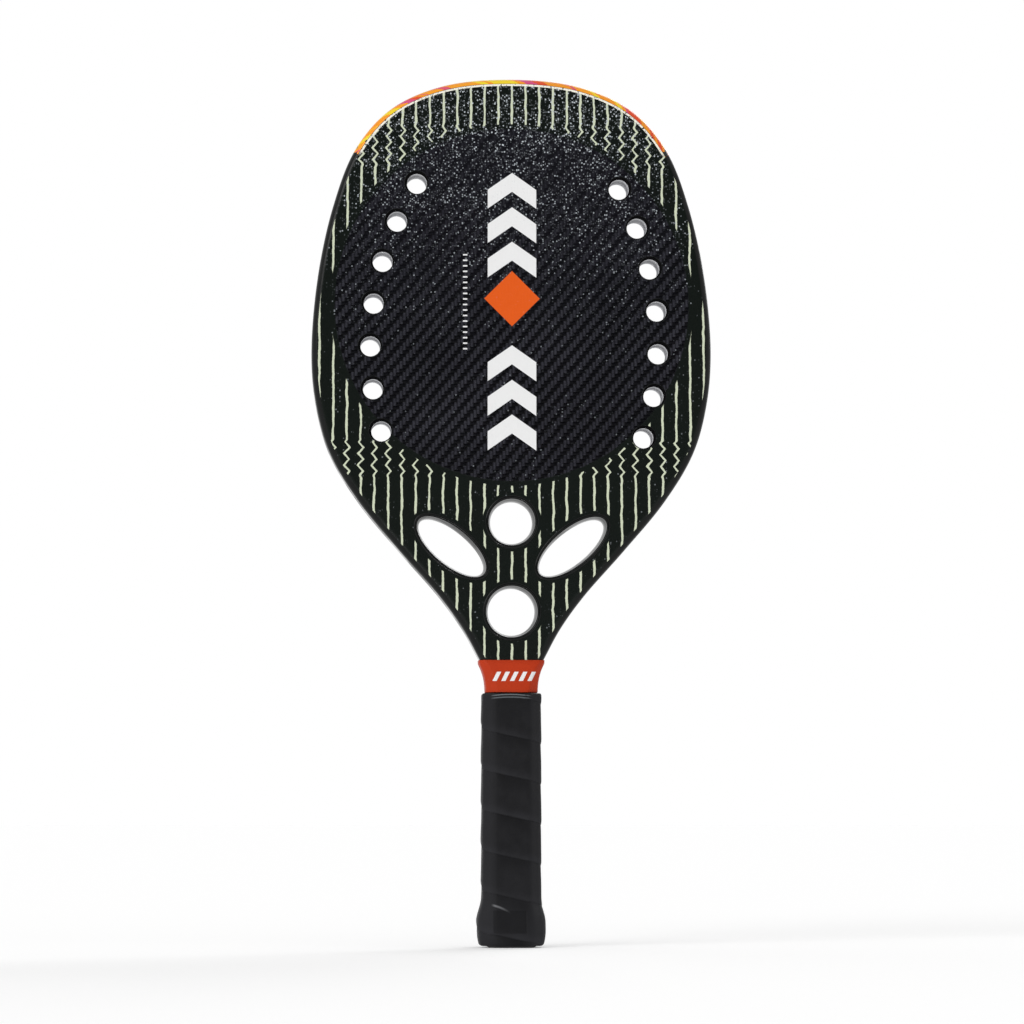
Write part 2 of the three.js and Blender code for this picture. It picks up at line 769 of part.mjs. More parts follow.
// The rubber collar, stretched over the arms between the grip and the throat.
function collar() {
  const bottom = gripTop + gap;
  const levels = [bottom, (gripTop + rimTaperBottom) / 2, rimTaperBottom, neckY - collarLipHeight, neckY];
  const ring = (y, offset) => {
    const share = (y - gripTop) / collarHeight;
    const halfDepth = THREE.MathUtils.lerp(palletHalf, rimHalf, share) + offset;
    const corner = THREE.MathUtils.lerp(handleBevel, rimRadius * bevelPerRadius, share);
    const bevel = corner + offset * bevelPerRadius;
    return octagonRing(y, armWidthAt(y) + offset, halfDepth, bevel, coreRound + offset);
  };
  const inside = levels.map((y) => ring(y, gap));
  const outside = levels.map((y) => ring(y, gap + (y === neckY ? collarLip : collarWall)));
  return meshOf("rubber_collar", sleeve([...inside, ...outside.toReversed()]), 0xc2451a, 0.55, 0);
}

const flat = new THREE.Group();
flat.add(...hoop(), ...skins(), core(), bridge(), spacer(), ...pallets(), ...buttCap(), ...staples());
flat.add(...baseGrip(), overgrip(), collar());
flat.rotation.x = Math.PI / 2;

const racket = new THREE.Group();
racket.name = "beach_tennis_racket";
racket.add(flat);

export default racket;
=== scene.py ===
"""A beach tennis racket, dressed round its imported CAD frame. All sizes are in millimetres,
in the frame's own axes: X across, -Y out of the front face, Z from the butt to the tip."""

import math

import bmesh
import bpy
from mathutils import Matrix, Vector, noise
from mathutils.geometry import tessellate_polygon


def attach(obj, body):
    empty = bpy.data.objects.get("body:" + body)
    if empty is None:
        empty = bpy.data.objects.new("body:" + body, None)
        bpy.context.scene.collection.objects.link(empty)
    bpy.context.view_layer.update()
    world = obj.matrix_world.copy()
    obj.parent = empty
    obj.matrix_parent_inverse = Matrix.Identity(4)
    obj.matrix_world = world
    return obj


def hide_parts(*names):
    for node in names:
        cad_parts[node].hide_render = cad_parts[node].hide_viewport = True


MM = 0.001

# Overall sizes, as in the CAD
RACKET_LENGTH = 500
HEAD_HALF_WIDTH = 115.2
RIM_HALF = 11
GRIP_TOP = 145
COLLAR_HEIGHT = 18.9
NECK_HALF_WIDTH = 18.3
ARM_HALF_WIDTH = 13.4
NECK_POWER = 2.4
GAP = 0.3
MERGE_DISTANCE = 0.01
NECK_Z = GRIP_TOP + COLLAR_HEIGHT

# Rim and edge guard
RIM_RADIUS = 4.5
PLATE_INSET = 5.2
HOOP_WIDTH = 10
ARM_RIM_HALF = 9.9
BODY_SKIRT = 3
BODY_BOTTOM = NECK_Z - BODY_SKIRT
HANDLE_END = 4.6
GUARD_THICKNESS = 0.5
GUARD_HALF_SPAN = 107
GUARD_EDGE_DEGREES = 111
PRINT_EDGE_DEGREES = 107
GUARD_SEAM = 0.12

# Drilled holes. Each mouth has a low ridge and a step round it, as rings of a growth of the
# hole and a fall below the face. The ridge's rings are lacquered and the rest are bare foam,
# black down to the step's depth and painted darker over a range of depths as painted shade.
# The bore lies a little off the middle of its mouth, towards the middle of the head and down.
DRILL_RADIUS = 5.75
DRILL_RING = (
    (1.35, 0),
    (1.24, -0.09),
    (1.12, -0.1),
    (1.02, 0.05),
    (0.96, 0.5),
    (0.85, 1.1),
    (0.2, 1.3),
    (0.05, 1.4),
    (0, 1.7),
)
RIDGE_RINGS = 4
STEP_DEPTH = 1.5
MOUTH_BLACK_SOFT = 0.1
FOAM_SHADE_DEPTHS = (1, 10)
BORE_INWARDS = 0.35
BORE_DOWN = 0.5
DRILL_PITCH = 24.8
DRILL_COUNT = 7
DRILL_ARC_RADIUS = 184.4
DRILL_ROW_REACH = 83.2
DRILL_ROW_Z = 345.7
DRILL_ROW_START = -52.6
DRILL_TURN_DEGREES = 1.25
DRILL_SHIFT = 1.5

# Lips of the throat openings: shares of the width out from the opening and of the rise
LIP_WIDTH = 2.1
LIP_SHARES = (
    (1, 0),
    (0.95, 0.3),
    (0.86, 0.6),
    (0.74, 0.85),
    (0.6, 0.98),
    (0.45, 1),
    (0.28, 0.7),
    (0.12, 0),
    (0.02, -1),
    (0, -2.6),
)
LIP_RISE = 0.5
WALL_SWELL = 1.2
WALL_STEPS = 6

# Throat openings: centre x and z, half length, half width, tilt in degrees
UPPER_OPENING = (0, 243.1, 13.3, 13.3, 0)
LOWER_OPENING = (0, 191.7, 14.7, 14.7, 0)
SIDE_OPENING = (34.7, 228.8, 24.2, 10.4, 39.5)
MIRRORED_OPENING = (-34.7, 228.8, 24.2, 10.4, -39.5)
OPENINGS = (UPPER_OPENING, LOWER_OPENING, SIDE_OPENING, MIRRORED_OPENING)

# Handle: an octagon, which flares and is domed towards the butt, with a cushion grip on it
PALLET_HALF = 12
HANDLE_BEVEL = 4.74
CORE_ROUND = 1
BEVEL_PER_RADIUS = 2 - math.sqrt(2)
FLARE_DEPTH = 2.6
FLARE_TOP = 28
FLARE_FULL = 15
DOME_HEIGHT = 10
DOME_SHARE = 0.7
BASE_GRIP_BOTTOM = 2.2
BASE_GRIP_THICKNESS = 1.4
TAPE_WIDTH = 7
FINISHING_TAPE_BOTTOM = GRIP_TOP - TAPE_WIDTH

# Wound tape: thickness low and high on a turn, height and fall of its rounded lower edge,
# rounding at both ends of the grip, thinning of the covered upper edge, and lift of the lower
# edge off the turn below. The unevenness has a size, and a fineness round and up the handle.
WRAP_INNER = 2.2
WRAP_BOTTOM = 1
WRAP_PITCH = 23
WRAP_OVERLAP = 2.5
WRAP_THICK = 1.6
WRAP_THIN = 1.1
WRAP_EDGE = 3
WRAP_STEP = 0.55
WRAP_END_ROUND = 1.3
WRAP_END_FALL = 0.75
WRAP_UPPER_EDGE = 0.45
WRAP_LIFT = 0.55
WRAP_UNEVEN = 0.16
WRAP_UNEVEN_ROUND = 1.6
WRAP_UNEVEN_HEIGHT = 9
ABOVE_EDGE = "above_edge"

# Collar: wall, thinner lip at its top, rounding of its corners and of both its ends
COLLAR_WALL = 1.3
COLLAR_LIP = 0.4
COLLAR_LIP_HEIGHT = 2.2
COLLAR_CORNER = 2
COLLAR_FOOT_ROUND = 0.5
COLLAR_TOP_ROUND = 0.3

# Fineness of the curves
HEAD_STEPS = 420
SPAN_STEPS = 105
ARC_STEPS = 9
DRILL_SIDES = 48
OPENING_SIDES = 96
CORNER_STEPS = 4
FLAT_STEPS = 3
NECK_STEPS = 4
ARM_STEPS = 6
FLARE_STEPS = 16
COLLAR_STEPS = 22
SHARP_DEGREES = 35
WRAP_SHARP_DEGREES = 50

# Material slots of the painted body
FACE_SLOT, RIM_SLOT, BORE_SLOT = range(3)

# Print on the face: the round zone of bare carbon, and the pinstripes outside it
ZONE_CENTRE_Z = 368.6
ZONE_RADIUS = 102
ZONE_SOFT = 0.4
ZONE_MARGIN = 2.5
TOW_WIDTH = 1.85
TOW_HEIGHT = 2.15
STRIPE_PITCH = 7.9
STRIPE_HALF = 0.58
STRIPE_MARGIN = 3.6
STRIPE_SWAY = 2.2

# Heights where the pinstripes begin to fold to a zigzag, fold fully, fold less and end it
ZIGZAG_BANDS = ((268, 271, 288, 291), (447, 451, 470, 474))
ZIGZAG_HALF_PITCH = 3.4
ZIGZAG_SLOPE = 0.85

# Print down the middle of the face
PRINT_SOFT = 0.2
CHEVRON_RUNS = ((294, 345), (394, 445))
CHEVRON_PITCH = 20
CHEVRON_BAR = 11
CHEVRON_HALF_WIDTH = 14
CHEVRON_SLOPE = 0.7
DIAMOND_Z = 372
DIAMOND_HALF = 16
DIAMOND_SOFT = 0.3
TICK_X = -27
TICK_PITCH = 3.2
TICK_SIDES = (1.4, 1.1)
TICK_TOP = (0.95, 0.75)
TICK_RUN = (340.2, 397.8)

# Sand in the lacquer: where it sets in and where it is in full, in heights and, for its
# sides, in distances from the middle. Its specks are painted brighter towards the top as painted glints, in
# two stretches.
SAND_HEIGHTS = (335, 465)
SAND_SIDES = (104, 66)
GLEAM_HEIGHTS = (330, 450)
TOP_GLEAM_HEIGHTS = (448, 470)

# Painted highlight line under the edge guard, white: it fades in and out over these distances
# from the middle of the frame's thickness, and sets in over these heights
LINE_TO_RIM = (10.79, 10.81)
LINE_TO_FACE = (10.99, 10.98)
LINE_HEIGHTS = (454, 458)

# Print on the edge guard, along an arc round a centre, in lengths of one row of its colours.
# It wears by a share for each millimetre off the middle, less a spared share.
GUARD_CENTRE_Z = 380
GUARD_ARC_RADIUS = 110
GUARD_PERIOD = 64
GUARD_SLANT = 2.6
GUARD_WEAR = 0.03
GUARD_SPARED = 2.27

# Look of the tape, as pairs of where it sets in and where it is in full: paler towards the
# butt, paler towards the sides as a painted sheen, rubbed above each turn's lower edge, evenly
# so below a height, and a painted shade further up the turn, under the next turn's edge, and
# near the middle. The last pair is the tape's front, in y.
PALE_HEIGHTS = (62, 8)
SHEEN_SIDES = (8, 13)
RUB_START = (0, 0.8)
RUB_END = (6, 0.8)
EVEN_RUB_HEIGHTS = (125, 90)
EDGE_SHADE_START = (14, 22)
EDGE_SHADE_SIDES = (11, 5)
TAPE_FRONT = (-13, -14)

# Marks on the tape: height and half width of each painted highlight arc along the grip's top
# edge, with its strength; the sunken patch near the butt, painted darker as painted shade; and
# the crease that runs down over the patch, painted pale as a painted highlight. Arcs and crease
# are in full in a core, and soft beside it.
ARC_X = -0.9
ARC_BEND = 0.006
ARC_SIDES = (13.2, 7)
ARCS = ((144.1, 0.5, 0.8), (142.6, 0.6, 0.55))
PATCH_X = -1.3
PATCH_HALF_WIDTH = 9.4
PATCH_HEIGHTS = (8.3, 21.2)
PATCH_SOFT = 0.4
CREASE_X = -11.6
CREASE_Z = 24.3
CREASE_HALF = 1
CREASE_SLOPE = 0.2
CREASE_BEND = 0.02
CREASE_START = (-0.6, 1.8)
CREASE_END = (11, 2)
MARK_CORE = 0.1

# Bars on the collar
BAR_SLANT = 0.5
BAR_SHIFT = 77.25
BAR_PITCH = 5
BAR_SIDES = (2.55, 2.3)
BAR_Z = 154.5
BAR_ENDS = (2.75, 2.5)
BAR_ROW_HALF = 12.5
BAR_ROW_SOFT = 0.1

# Outline of the head, as shares of its sizes: see the CAD
WIDEST_SHARE = 0.527
CROWN_SHARES = ((0.969, 0.277), (0.892, 0.537), (0.783, 0.74), (0.609, 0.886), (0.349, 0.973))
FLANK_SHARES = (
    (0, 0),
    (0.097, 0.098),
    (0.234, 0.203),
    (0.485, 0.359),
    (0.722, 0.516),
    (0.893, 0.673),
    (0.973, 0.829),
)

# Camera, low and to the left, the point that it looks at, and how wide it sees there
CAMERA_PLACE = (-125, -2400, 75)
CAMERA_AIM = (0, -11, 248.8)
VIEW_WIDTH = 587.4
SENSOR = 36

# Light: the world's level, and each lamp's name, direction towards it, spread in degrees and
# power. Reflections find the front of the room dark, from the narrow share of a direction
# that points to the front, and white again from the wide share.
WORLD_LIGHT = 0.55
LAMPS = (
    ("key", (-0.6, -0.7, 0.45), 35, 0.95),
    ("low", (-0.25, -0.85, -0.45), 4, 0.55),
    ("rear", (0.45, 0.8, 0.5), 40, 1.1),
)
FRONT_GLOSS = 0.03
FRONT_NARROW = 0.92
FRONT_WIDE = 0.55
FLOOR_HALF = 30000
FLOOR_SHADE = 0.9
FLOOR_ROUGHNESS = 0.9
FLOOR_GLOW = 0.23


def head_points():
    """The points of the head's outline, from the left of the neck over the tip to its right."""
    widest = NECK_Z + (RACKET_LENGTH - NECK_Z) * WIDEST_SHARE
    spread = HEAD_HALF_WIDTH - NECK_HALF_WIDTH
    flank = widest - NECK_Z
    crown = RACKET_LENGTH - widest
    right = [Vector((NECK_HALF_WIDTH + spread * across, NECK_Z + flank * up)) for across, up in FLANK_SHARES]
    right.append(Vector((HEAD_HALF_WIDTH, widest)))
    right += [Vector((HEAD_HALF_WIDTH * across, widest + crown * up)) for across, up in CROWN_SHARES]
    left = [Vector((-p.x, p.y)) for p in right]
    return left + [Vector((0, RACKET_LENGTH))] + right[::-1]


def spline(points, steps):
    """A centripetal Catmull-Rom curve through the points."""
    ends = [points[0] * 2 - points[1], *points, points[-1] * 2 - points[-2]]
    samples = []
    for p0, p1, p2, p3 in zip(ends, ends[1:], ends[2:], ends[3:]):
        d0 = math.sqrt((p1 - p0).length)
        d1 = math.sqrt((p2 - p1).length)
        d2 = math.sqrt((p3 - p2).length)
        t1 = ((p1 - p0) / d0 - (p2 - p0) / (d0 + d1) + (p2 - p1) / d1) * d1
        t2 = ((p2 - p1) / d1 - (p3 - p1) / (d1 + d2) + (p3 - p2) / d2) * d1
        for i in range(steps):
            t = i / steps
            a = p1 * (2 * t**3 - 3 * t**2 + 1) + t1 * (t**3 - 2 * t**2 + t)
            samples.append(a + p2 * (3 * t**2 - 2 * t**3) + t2 * (t**3 - t**2))
    samples.append(points[-1].copy())
    return samples


def evenly(samples, count, marks):
    """Points at even distances along a fine polyline, and at the marked distances from its middle."""
    walked = [0]
    for a, b in zip(samples, samples[1:]):
        walked.append(walked[-1] + (b - a).length)
    total = walked[-1]
    step = total / count
    nearest = step / 3
    extra = [total / 2 + side * mark for mark in marks for side in (-1, 1)]
    kept = [step * i for i in range(count + 1) if all(abs(step * i - e) > nearest for e in extra)]
    stations = []
    i = 0
    for s in sorted(kept + extra):
        while i < len(samples) - 2 and walked[i + 1] < s:
            i += 1
        share = (s - walked[i]) / (walked[i + 1] - walked[i])
        along = (samples[i + 1] - samples[i]).normalized()
        stations.append((samples[i].lerp(samples[i + 1], share), along, abs(s - total / 2)))
    return stations


def arm_width(z):
    """Half width over the hoop's arms, which spread from the grip to the neck."""
    up = max(0, (z - GRIP_TOP) / COLLAR_HEIGHT)
    return ARM_HALF_WIDTH + (NECK_HALF_WIDTH - ARM_HALF_WIDTH) * up**NECK_POWER


def outline():
    """Stations round the head: point, inward direction and distance from the tip."""
    marks = (GUARD_HALF_SPAN, GUARD_HALF_SPAN + GUARD_SEAM, GUARD_HALF_SPAN + 2 * GUARD_SEAM)
    head = evenly(spline(head_points(), SPAN_STEPS), HEAD_STEPS, marks)
    stations = [(p, Vector((a.y, -a.x)), far) for p, a, far in head]
    levels = [BODY_BOTTOM + BODY_SKIRT * i / NECK_STEPS for i in range(NECK_STEPS)]
    for z in levels[::-1]:
        lean = stations[0][1]
        inward = Vector((1, lean.y / lean.x * (z - BODY_BOTTOM) / BODY_SKIRT))
        inward.normalize()
        stations.insert(0, (Vector((-arm_width(z), z)), inward, RACKET_LENGTH))
        stations.append((Vector((arm_width(z), z)), Vector((-inward.x, inward.y)), RACKET_LENGTH))
    return stations


def make_piece(name, bm, materials, sharp_degrees=SHARP_DEGREES):
    bmesh.ops.remove_doubles(bm, verts=bm.verts, dist=MERGE_DISTANCE)
    bmesh.ops.recalc_face_normals(bm, faces=bm.faces)
    bmesh.ops.scale(bm, vec=(MM, MM, MM), verts=bm.verts)
    mesh = bpy.data.meshes.new(name)
    bm.to_mesh(mesh)
    bm.free()
    for material in materials:
        mesh.materials.append(material)
    mesh.shade_smooth()
    mesh.set_sharp_from_angle(angle=math.radians(sharp_degrees))
    piece = bpy.data.objects.new(name, mesh)
    bpy.context.scene.collection.objects.link(piece)
    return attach(piece, "root")


def join_rings(bm, rings, closed, material=0):
    """Quads between rings of vertices that have as many points each."""
    for a, b in zip(rings, rings[1:]):
        count = len(a) if closed else len(a) - 1
        for j in range(count):
            k = (j + 1) % len(a)
            bm.faces.new((a[j], a[k], b[k], b[j])).material_index = material


def ring_of(bm, points):
    return [bm.verts.new(p) for p in points]


def rim_point(half, degrees, depth=0):
    """A point on the rounded rim: how far in it lies, and how far in front of the middle."""
    angle = math.radians(degrees)
    radius = RIM_RADIUS - depth
    return Vector((RIM_RADIUS + radius * math.cos(angle), half - RIM_RADIUS + radius * math.sin(angle)))


def at_station(station, uv):
    """The point that lies so far in from the outline at a station, and so far in front."""
    point, inward, _ = station
    flat = point + inward * uv.x
    return Vector((flat.x, -uv.y, flat.y))


def mirrored(front):
    """Points of the front half and, in reverse, the same points behind."""
    return front + [Vector((p.x, -p.y)) for p in front[::-1]]


def ellipse(opening, grow, y, sides):
    """A ring round an opening, larger by a distance all round."""
    x, z, long, short, degrees = opening
    turn = math.radians(degrees)
    points = []
    for i in range(sides):
        angle = 2 * math.pi * i / sides
        a = (long + grow) * math.cos(angle)
        b = (short + grow) * math.sin(angle)
        across = x + a * math.cos(turn) - b * math.sin(turn)
        up = z + a * math.sin(turn) + b * math.cos(turn)
        points.append(Vector((across, y, up)))
    return points


def drill_openings():
    """The drilled holes, in one arc at each side of the face."""
    turn = -math.radians(DRILL_TURN_DEGREES)
    places = []
    for side in (-1, 1):
        for i in range(DRILL_COUNT):
            angle = (DRILL_ROW_START + i * DRILL_PITCH) / DRILL_ARC_RADIUS
            x = side * (DRILL_ROW_REACH - DRILL_ARC_RADIUS * (1 - math.cos(angle)))
            up = DRILL_ARC_RADIUS * math.sin(angle)
            across = x * math.cos(turn) - up * math.sin(turn) + DRILL_SHIFT
            z = DRILL_ROW_Z + x * math.sin(turn) + up * math.cos(turn)
            places.append((across, z, DRILL_RADIUS, DRILL_RADIUS, 0))
    return places


def drill_profile():
    """Growth of the hole and height on the face, from the front round to the rear."""
    front = [(grow, RIM_HALF - fall) for grow, fall in DRILL_RING]
    return front + [(grow, -y) for grow, y in front[::-1]]


def drill_ring(place, grow, y):
    """One ring round a drilled hole; the bore lies off the middle of its mouth."""
    x, z, long, short, degrees = place
    share = max(0, 1 - grow)
    moved = (x - math.copysign(BORE_INWARDS, x) * share, z - BORE_DOWN * share, long, short, degrees)
    return ellipse(moved, grow, y, DRILL_SIDES)


def lip_profile():
    """The rounded lip round a throat opening, from the face round to the rear."""
    front = [(LIP_WIDTH * out, RIM_HALF + LIP_RISE * up) for out, up in LIP_SHARES]
    deep = front[-1][1]
    for i in range(1, WALL_STEPS):
        share = i / WALL_STEPS
        front.append((-WALL_SWELL * (1 - (1 - share) ** 2), deep * (1 - share)))
    middle = [(-WALL_SWELL, 0)]
    return front + middle + [(grow, -y) for grow, y in front[::-1]]


def racket_body(face, rim, bore):
    """The painted body: both faces, the rounded rim, the drilled holes and the lipped openings."""
    bm = bmesh.new()
    stations = outline()
    arc = [90 + 90 * i / ARC_STEPS for i in range(ARC_STEPS + 1)]
    angles = sorted([*arc, PRINT_EDGE_DEGREES])
    rings = []
    for station in stations:
        guarded = (GUARD_HALF_SPAN + 2 * GUARD_SEAM - station[2]) / GUARD_SEAM
        depth = (GUARD_THICKNESS + GUARD_SEAM) * min(1, max(0, guarded))
        front = [Vector((PLATE_INSET, RIM_HALF))]
        front += [rim_point(RIM_HALF, a, depth if a > PRINT_EDGE_DEGREES else 0) for a in angles]
        rings.append(ring_of(bm, [at_station(station, uv) for uv in mirrored(front)]))
    join_rings(bm, rings, False, RIM_SLOT)
    printed = sum(1 for a in angles if a <= PRINT_EDGE_DEGREES)
    count = len(rings[0])
    for face_ring, next_ring in zip(rings, rings[1:]):
        for j in [*range(printed), *range(count - 1 - printed, count - 1)]:
            for f in face_ring[j].link_faces:
                if face_ring[j + 1] in f.verts and next_ring[j] in f.verts:
                    f.material_index = FACE_SLOT
    bm.faces.new(rings[0] + rings[-1][::-1]).material_index = RIM_SLOT
    edges = [([ring[0] for ring in rings], 0), ([ring[-1] for ring in rings], -1)]
    walls = []
    for place in drill_openings():
        loops = [ring_of(bm, drill_ring(place, grow, -y)) for grow, y in drill_profile()]
        join_rings(bm, loops[:RIDGE_RINGS], True, RIM_SLOT)
        join_rings(bm, loops[RIDGE_RINGS - 1 : 1 - RIDGE_RINGS], True, BORE_SLOT)
        join_rings(bm, loops[-RIDGE_RINGS:], True, RIM_SLOT)
        walls.append(loops)
    for place in OPENINGS:
        loops = [ring_of(bm, ellipse(place, grow, -y, OPENING_SIDES)) for grow, y in lip_profile()]
        join_rings(bm, loops, True, RIM_SLOT)
        walls.append(loops)
    for edge, end in edges:
        loops = [edge] + [loops[end] for loops in walls]
        flat = [v for loop in loops for v in loop]
        for tri in tessellate_polygon([[Vector((v.co.x, v.co.z, 0)) for v in loop] for loop in loops]):
            bm.faces.new([flat[i] for i in tri]).material_index = FACE_SLOT
    return make_piece("racket_body", bm, [face, rim, bore])


def frame_arms(material):
    """The ends of the hoop, which run down inside the handle."""
    bm = bmesh.new()
    rise = BODY_BOTTOM - GAP - GRIP_TOP
    levels = [HANDLE_END, *[GRIP_TOP + rise * i / ARM_STEPS for i in range(ARM_STEPS + 1)]]
    arc = [rim_point(ARM_RIM_HALF, 90 + 90 * i / ARC_STEPS) for i in range(ARC_STEPS + 1)]
    section = mirrored([Vector((HOOP_WIDTH, ARM_RIM_HALF)), *arc])
    for side in (-1, 1):
        rings = []
        for z in levels:
            rings.append(ring_of(bm, [(side * (arm_width(z) - uv.x), -uv.y, z) for uv in section]))
        join_rings(bm, rings, True)
        bm.faces.new(rings[0])
        bm.faces.new(rings[-1])
    return make_piece("frame_arms", bm, [material])


def edge_guard(material):
    """The coloured strip let into the rim round the top of the head."""
    bm = bmesh.new()
    sweep = 180 - GUARD_EDGE_DEGREES
    angles = [GUARD_EDGE_DEGREES + sweep * i / ARC_STEPS for i in range(ARC_STEPS + 1)]
    outside = [rim_point(RIM_HALF, a) for a in angles]
    inside = [rim_point(RIM_HALF, a, GUARD_THICKNESS) for a in angles]
    section = mirrored(outside) + mirrored(inside)[::-1]
    near = [s for s in outline() if s[2] <= GUARD_HALF_SPAN + GUARD_SEAM / 2]
    rings = [ring_of(bm, [at_station(s, uv) for uv in section]) for s in near]
    join_rings(bm, rings, True)
    bm.faces.new(rings[0])
    bm.faces.new(rings[-1])
    return make_piece("edge_guard", bm, [material])


def octagon(z, half_width, half_depth, bevel, rounding):
    """A rounded octagon round the handle, from the right side over the front to the left."""
    cut = rounding * math.tan(math.pi / 8)
    w, d = half_width, half_depth
    corners = [
        (w, d - bevel),
        (w - bevel, d),
        (bevel - w, d),
        (-w, d - bevel),
        (-w, bevel - d),
        (bevel - w, -d),
        (w - bevel, -d),
        (w, bevel - d),
    ]
    corners = [Vector((x, -front, z)) for x, front in corners]
    points = []
    for i, corner in enumerate(corners):
        last, after = corners[i - 1], corners[(i + 1) % len(corners)]
        start = corner + (last - corner).normalized() * cut
        end = corner + (after - corner).normalized() * cut
        for j in range(CORNER_STEPS + 1):
            t = j / CORNER_STEPS
            points.append(start * (1 - t) ** 2 + corner * 2 * t * (1 - t) + end * t**2)
        next_start = after + (corner - after).normalized() * cut
        points += [end.lerp(next_start, j / FLAT_STEPS) for j in range(1, FLAT_STEPS)]
    return points


def smoothstep(x, low, high):
    t = min(1, max(0, (x - low) / (high - low)))
    return t * t * (3 - 2 * t)


def flare(z):
    """How much thicker the grip is towards the butt, less where it is domed at its end."""
    low = max(0, (DOME_HEIGHT - z) / DOME_HEIGHT)
    return FLARE_DEPTH * (1 - smoothstep(z, FLARE_FULL, FLARE_TOP)) * (1 - DOME_SHARE * low * low)


def core_ring(z, offset):
    """A ring at a distance round the foam core of the handle."""
    bevel = HANDLE_BEVEL + offset * BEVEL_PER_RADIUS
    return octagon(z, ARM_HALF_WIDTH + offset, PALLET_HALF + offset, bevel, CORE_ROUND + offset)


def sleeve(name, rings, materials):
    """A closed sleeve through rings that run up its outside and down its inside."""
    bm = bmesh.new()
    loops = [ring_of(bm, ring) for ring in rings]
    join_rings(bm, [*loops, loops[0]], True)
    return make_piece(name, bm, materials)


def wrap_rows(edge):
    """Heights across the tape from the bottom up, closer at its lower edge and its cut ends."""
    end = edge + WRAP_PITCH + WRAP_OVERLAP
    low = WRAP_BOTTOM + WRAP_END_ROUND
    high = GRIP_TOP - WRAP_END_ROUND
    edge_shares = (0, 0.06, 0.2, 0.45, 1)
    round_shares = (0, 0.06, 0.2, 0.45, 0.75)
    flat_shares = (0.08, 0.16, 0.26, 0.36, 0.46, 0.56, 0.66, 0.76, 0.86, 0.94, 1)
    rows = [max(edge, WRAP_BOTTOM + WRAP_END_ROUND * share) for share in round_shares]
    rows += [min(max(edge + WRAP_EDGE * share, low), high) for share in edge_shares]
    rows += [min(max(edge + (end - edge) * share, low), high) for share in flat_shares]
    rows += [min(end, GRIP_TOP - WRAP_END_ROUND * share) for share in round_shares[::-1]]
    return sorted(rows)


def rounding(distance, radius):
    """How far a rounded edge falls back at a distance from the end."""
    left = max(0, radius - distance)
    return radius - math.sqrt(max(0, radius * radius - left * left))


def wrap_outside(z, edge, direction):
    """How far the tape's outer face stands out from the handle's core."""
    over = z - edge
    thickness = WRAP_THICK + (WRAP_THIN - WRAP_THICK) * min(1, over / WRAP_PITCH)
    thickness -= rounding(over, WRAP_EDGE) / WRAP_EDGE * WRAP_STEP
    if over > WRAP_PITCH:
        thickness -= (over - WRAP_PITCH) / WRAP_OVERLAP * WRAP_UPPER_EDGE
    ends = min(z - WRAP_BOTTOM, GRIP_TOP - z)
    thickness -= rounding(ends, WRAP_END_ROUND) * WRAP_END_FALL
    around = direction * WRAP_UNEVEN_ROUND
    spot = Vector((around.x, around.y, z / WRAP_UNEVEN_HEIGHT))
    return WRAP_INNER + thickness + WRAP_UNEVEN * noise.noise(spot)


def overgrip(material):
    """One tape wound up the handle, each turn over the upper edge of the turn below.

    Each vertex keeps its height above the lower edge of its turn, for the material."""
    bm = bmesh.new()
    above_edge = bm.verts.layers.float.new(ABOVE_EDGE)
    base = core_ring(0, WRAP_INNER)
    steps = [(b - a).length for a, b in zip([base[-1], *base], base)]
    total = sum(steps)
    walked = [sum(steps[1 : i + 1]) / total for i in range(len(base))]
    turns = math.ceil((GRIP_TOP - WRAP_BOTTOM) / WRAP_PITCH) + 1

    def point(z, offset, k):
        return core_ring(z, offset + flare(z))[k]

    rings = []
    for i in range(turns * len(base)):
        k = i % len(base)
        edge = WRAP_BOTTOM + WRAP_PITCH * (i // len(base) + walked[k] - 1)
        if edge + WRAP_PITCH + WRAP_OVERLAP < WRAP_BOTTOM + 2 * WRAP_END_ROUND:
            continue
        if edge > GRIP_TOP - 2 * WRAP_END_ROUND:
            continue
        direction = base[k].normalized()
        rows = wrap_rows(edge)
        outer = [point(z, wrap_outside(z, edge, direction), k) for z in rows]
        lift = WRAP_LIFT if edge > WRAP_BOTTOM else 0
        inner = [point(rows[-1], WRAP_INNER, k), point(rows[0], WRAP_INNER + lift, k)]
        ring = ring_of(bm, outer + inner)
        for vertex, z in zip(ring, [*rows, rows[-1], rows[0]]):
            vertex[above_edge] = z - edge
        rings.append(ring)
    join_rings(bm, rings, True)
    bm.faces.new(rings[0])
    bm.faces.new(rings[-1])
    return make_piece("wrapped_grip", bm, [material], WRAP_SHARP_DEGREES)


def cushion_grip(material):
    """The soft grip under the tape, between the finishing tape and the butt."""
    top = FINISHING_TAPE_BOTTOM - 2 * GAP
    rise = FLARE_TOP - BASE_GRIP_BOTTOM
    levels = [BASE_GRIP_BOTTOM + rise * i / FLARE_STEPS for i in range(FLARE_STEPS + 1)] + [top]
    outside = [core_ring(z, GAP + BASE_GRIP_THICKNESS + flare(z)) for z in levels]
    inside = [core_ring(z, GAP + flare(z)) for z in levels[::-1]]
    return sleeve("cushion_grip", outside + inside, [material])


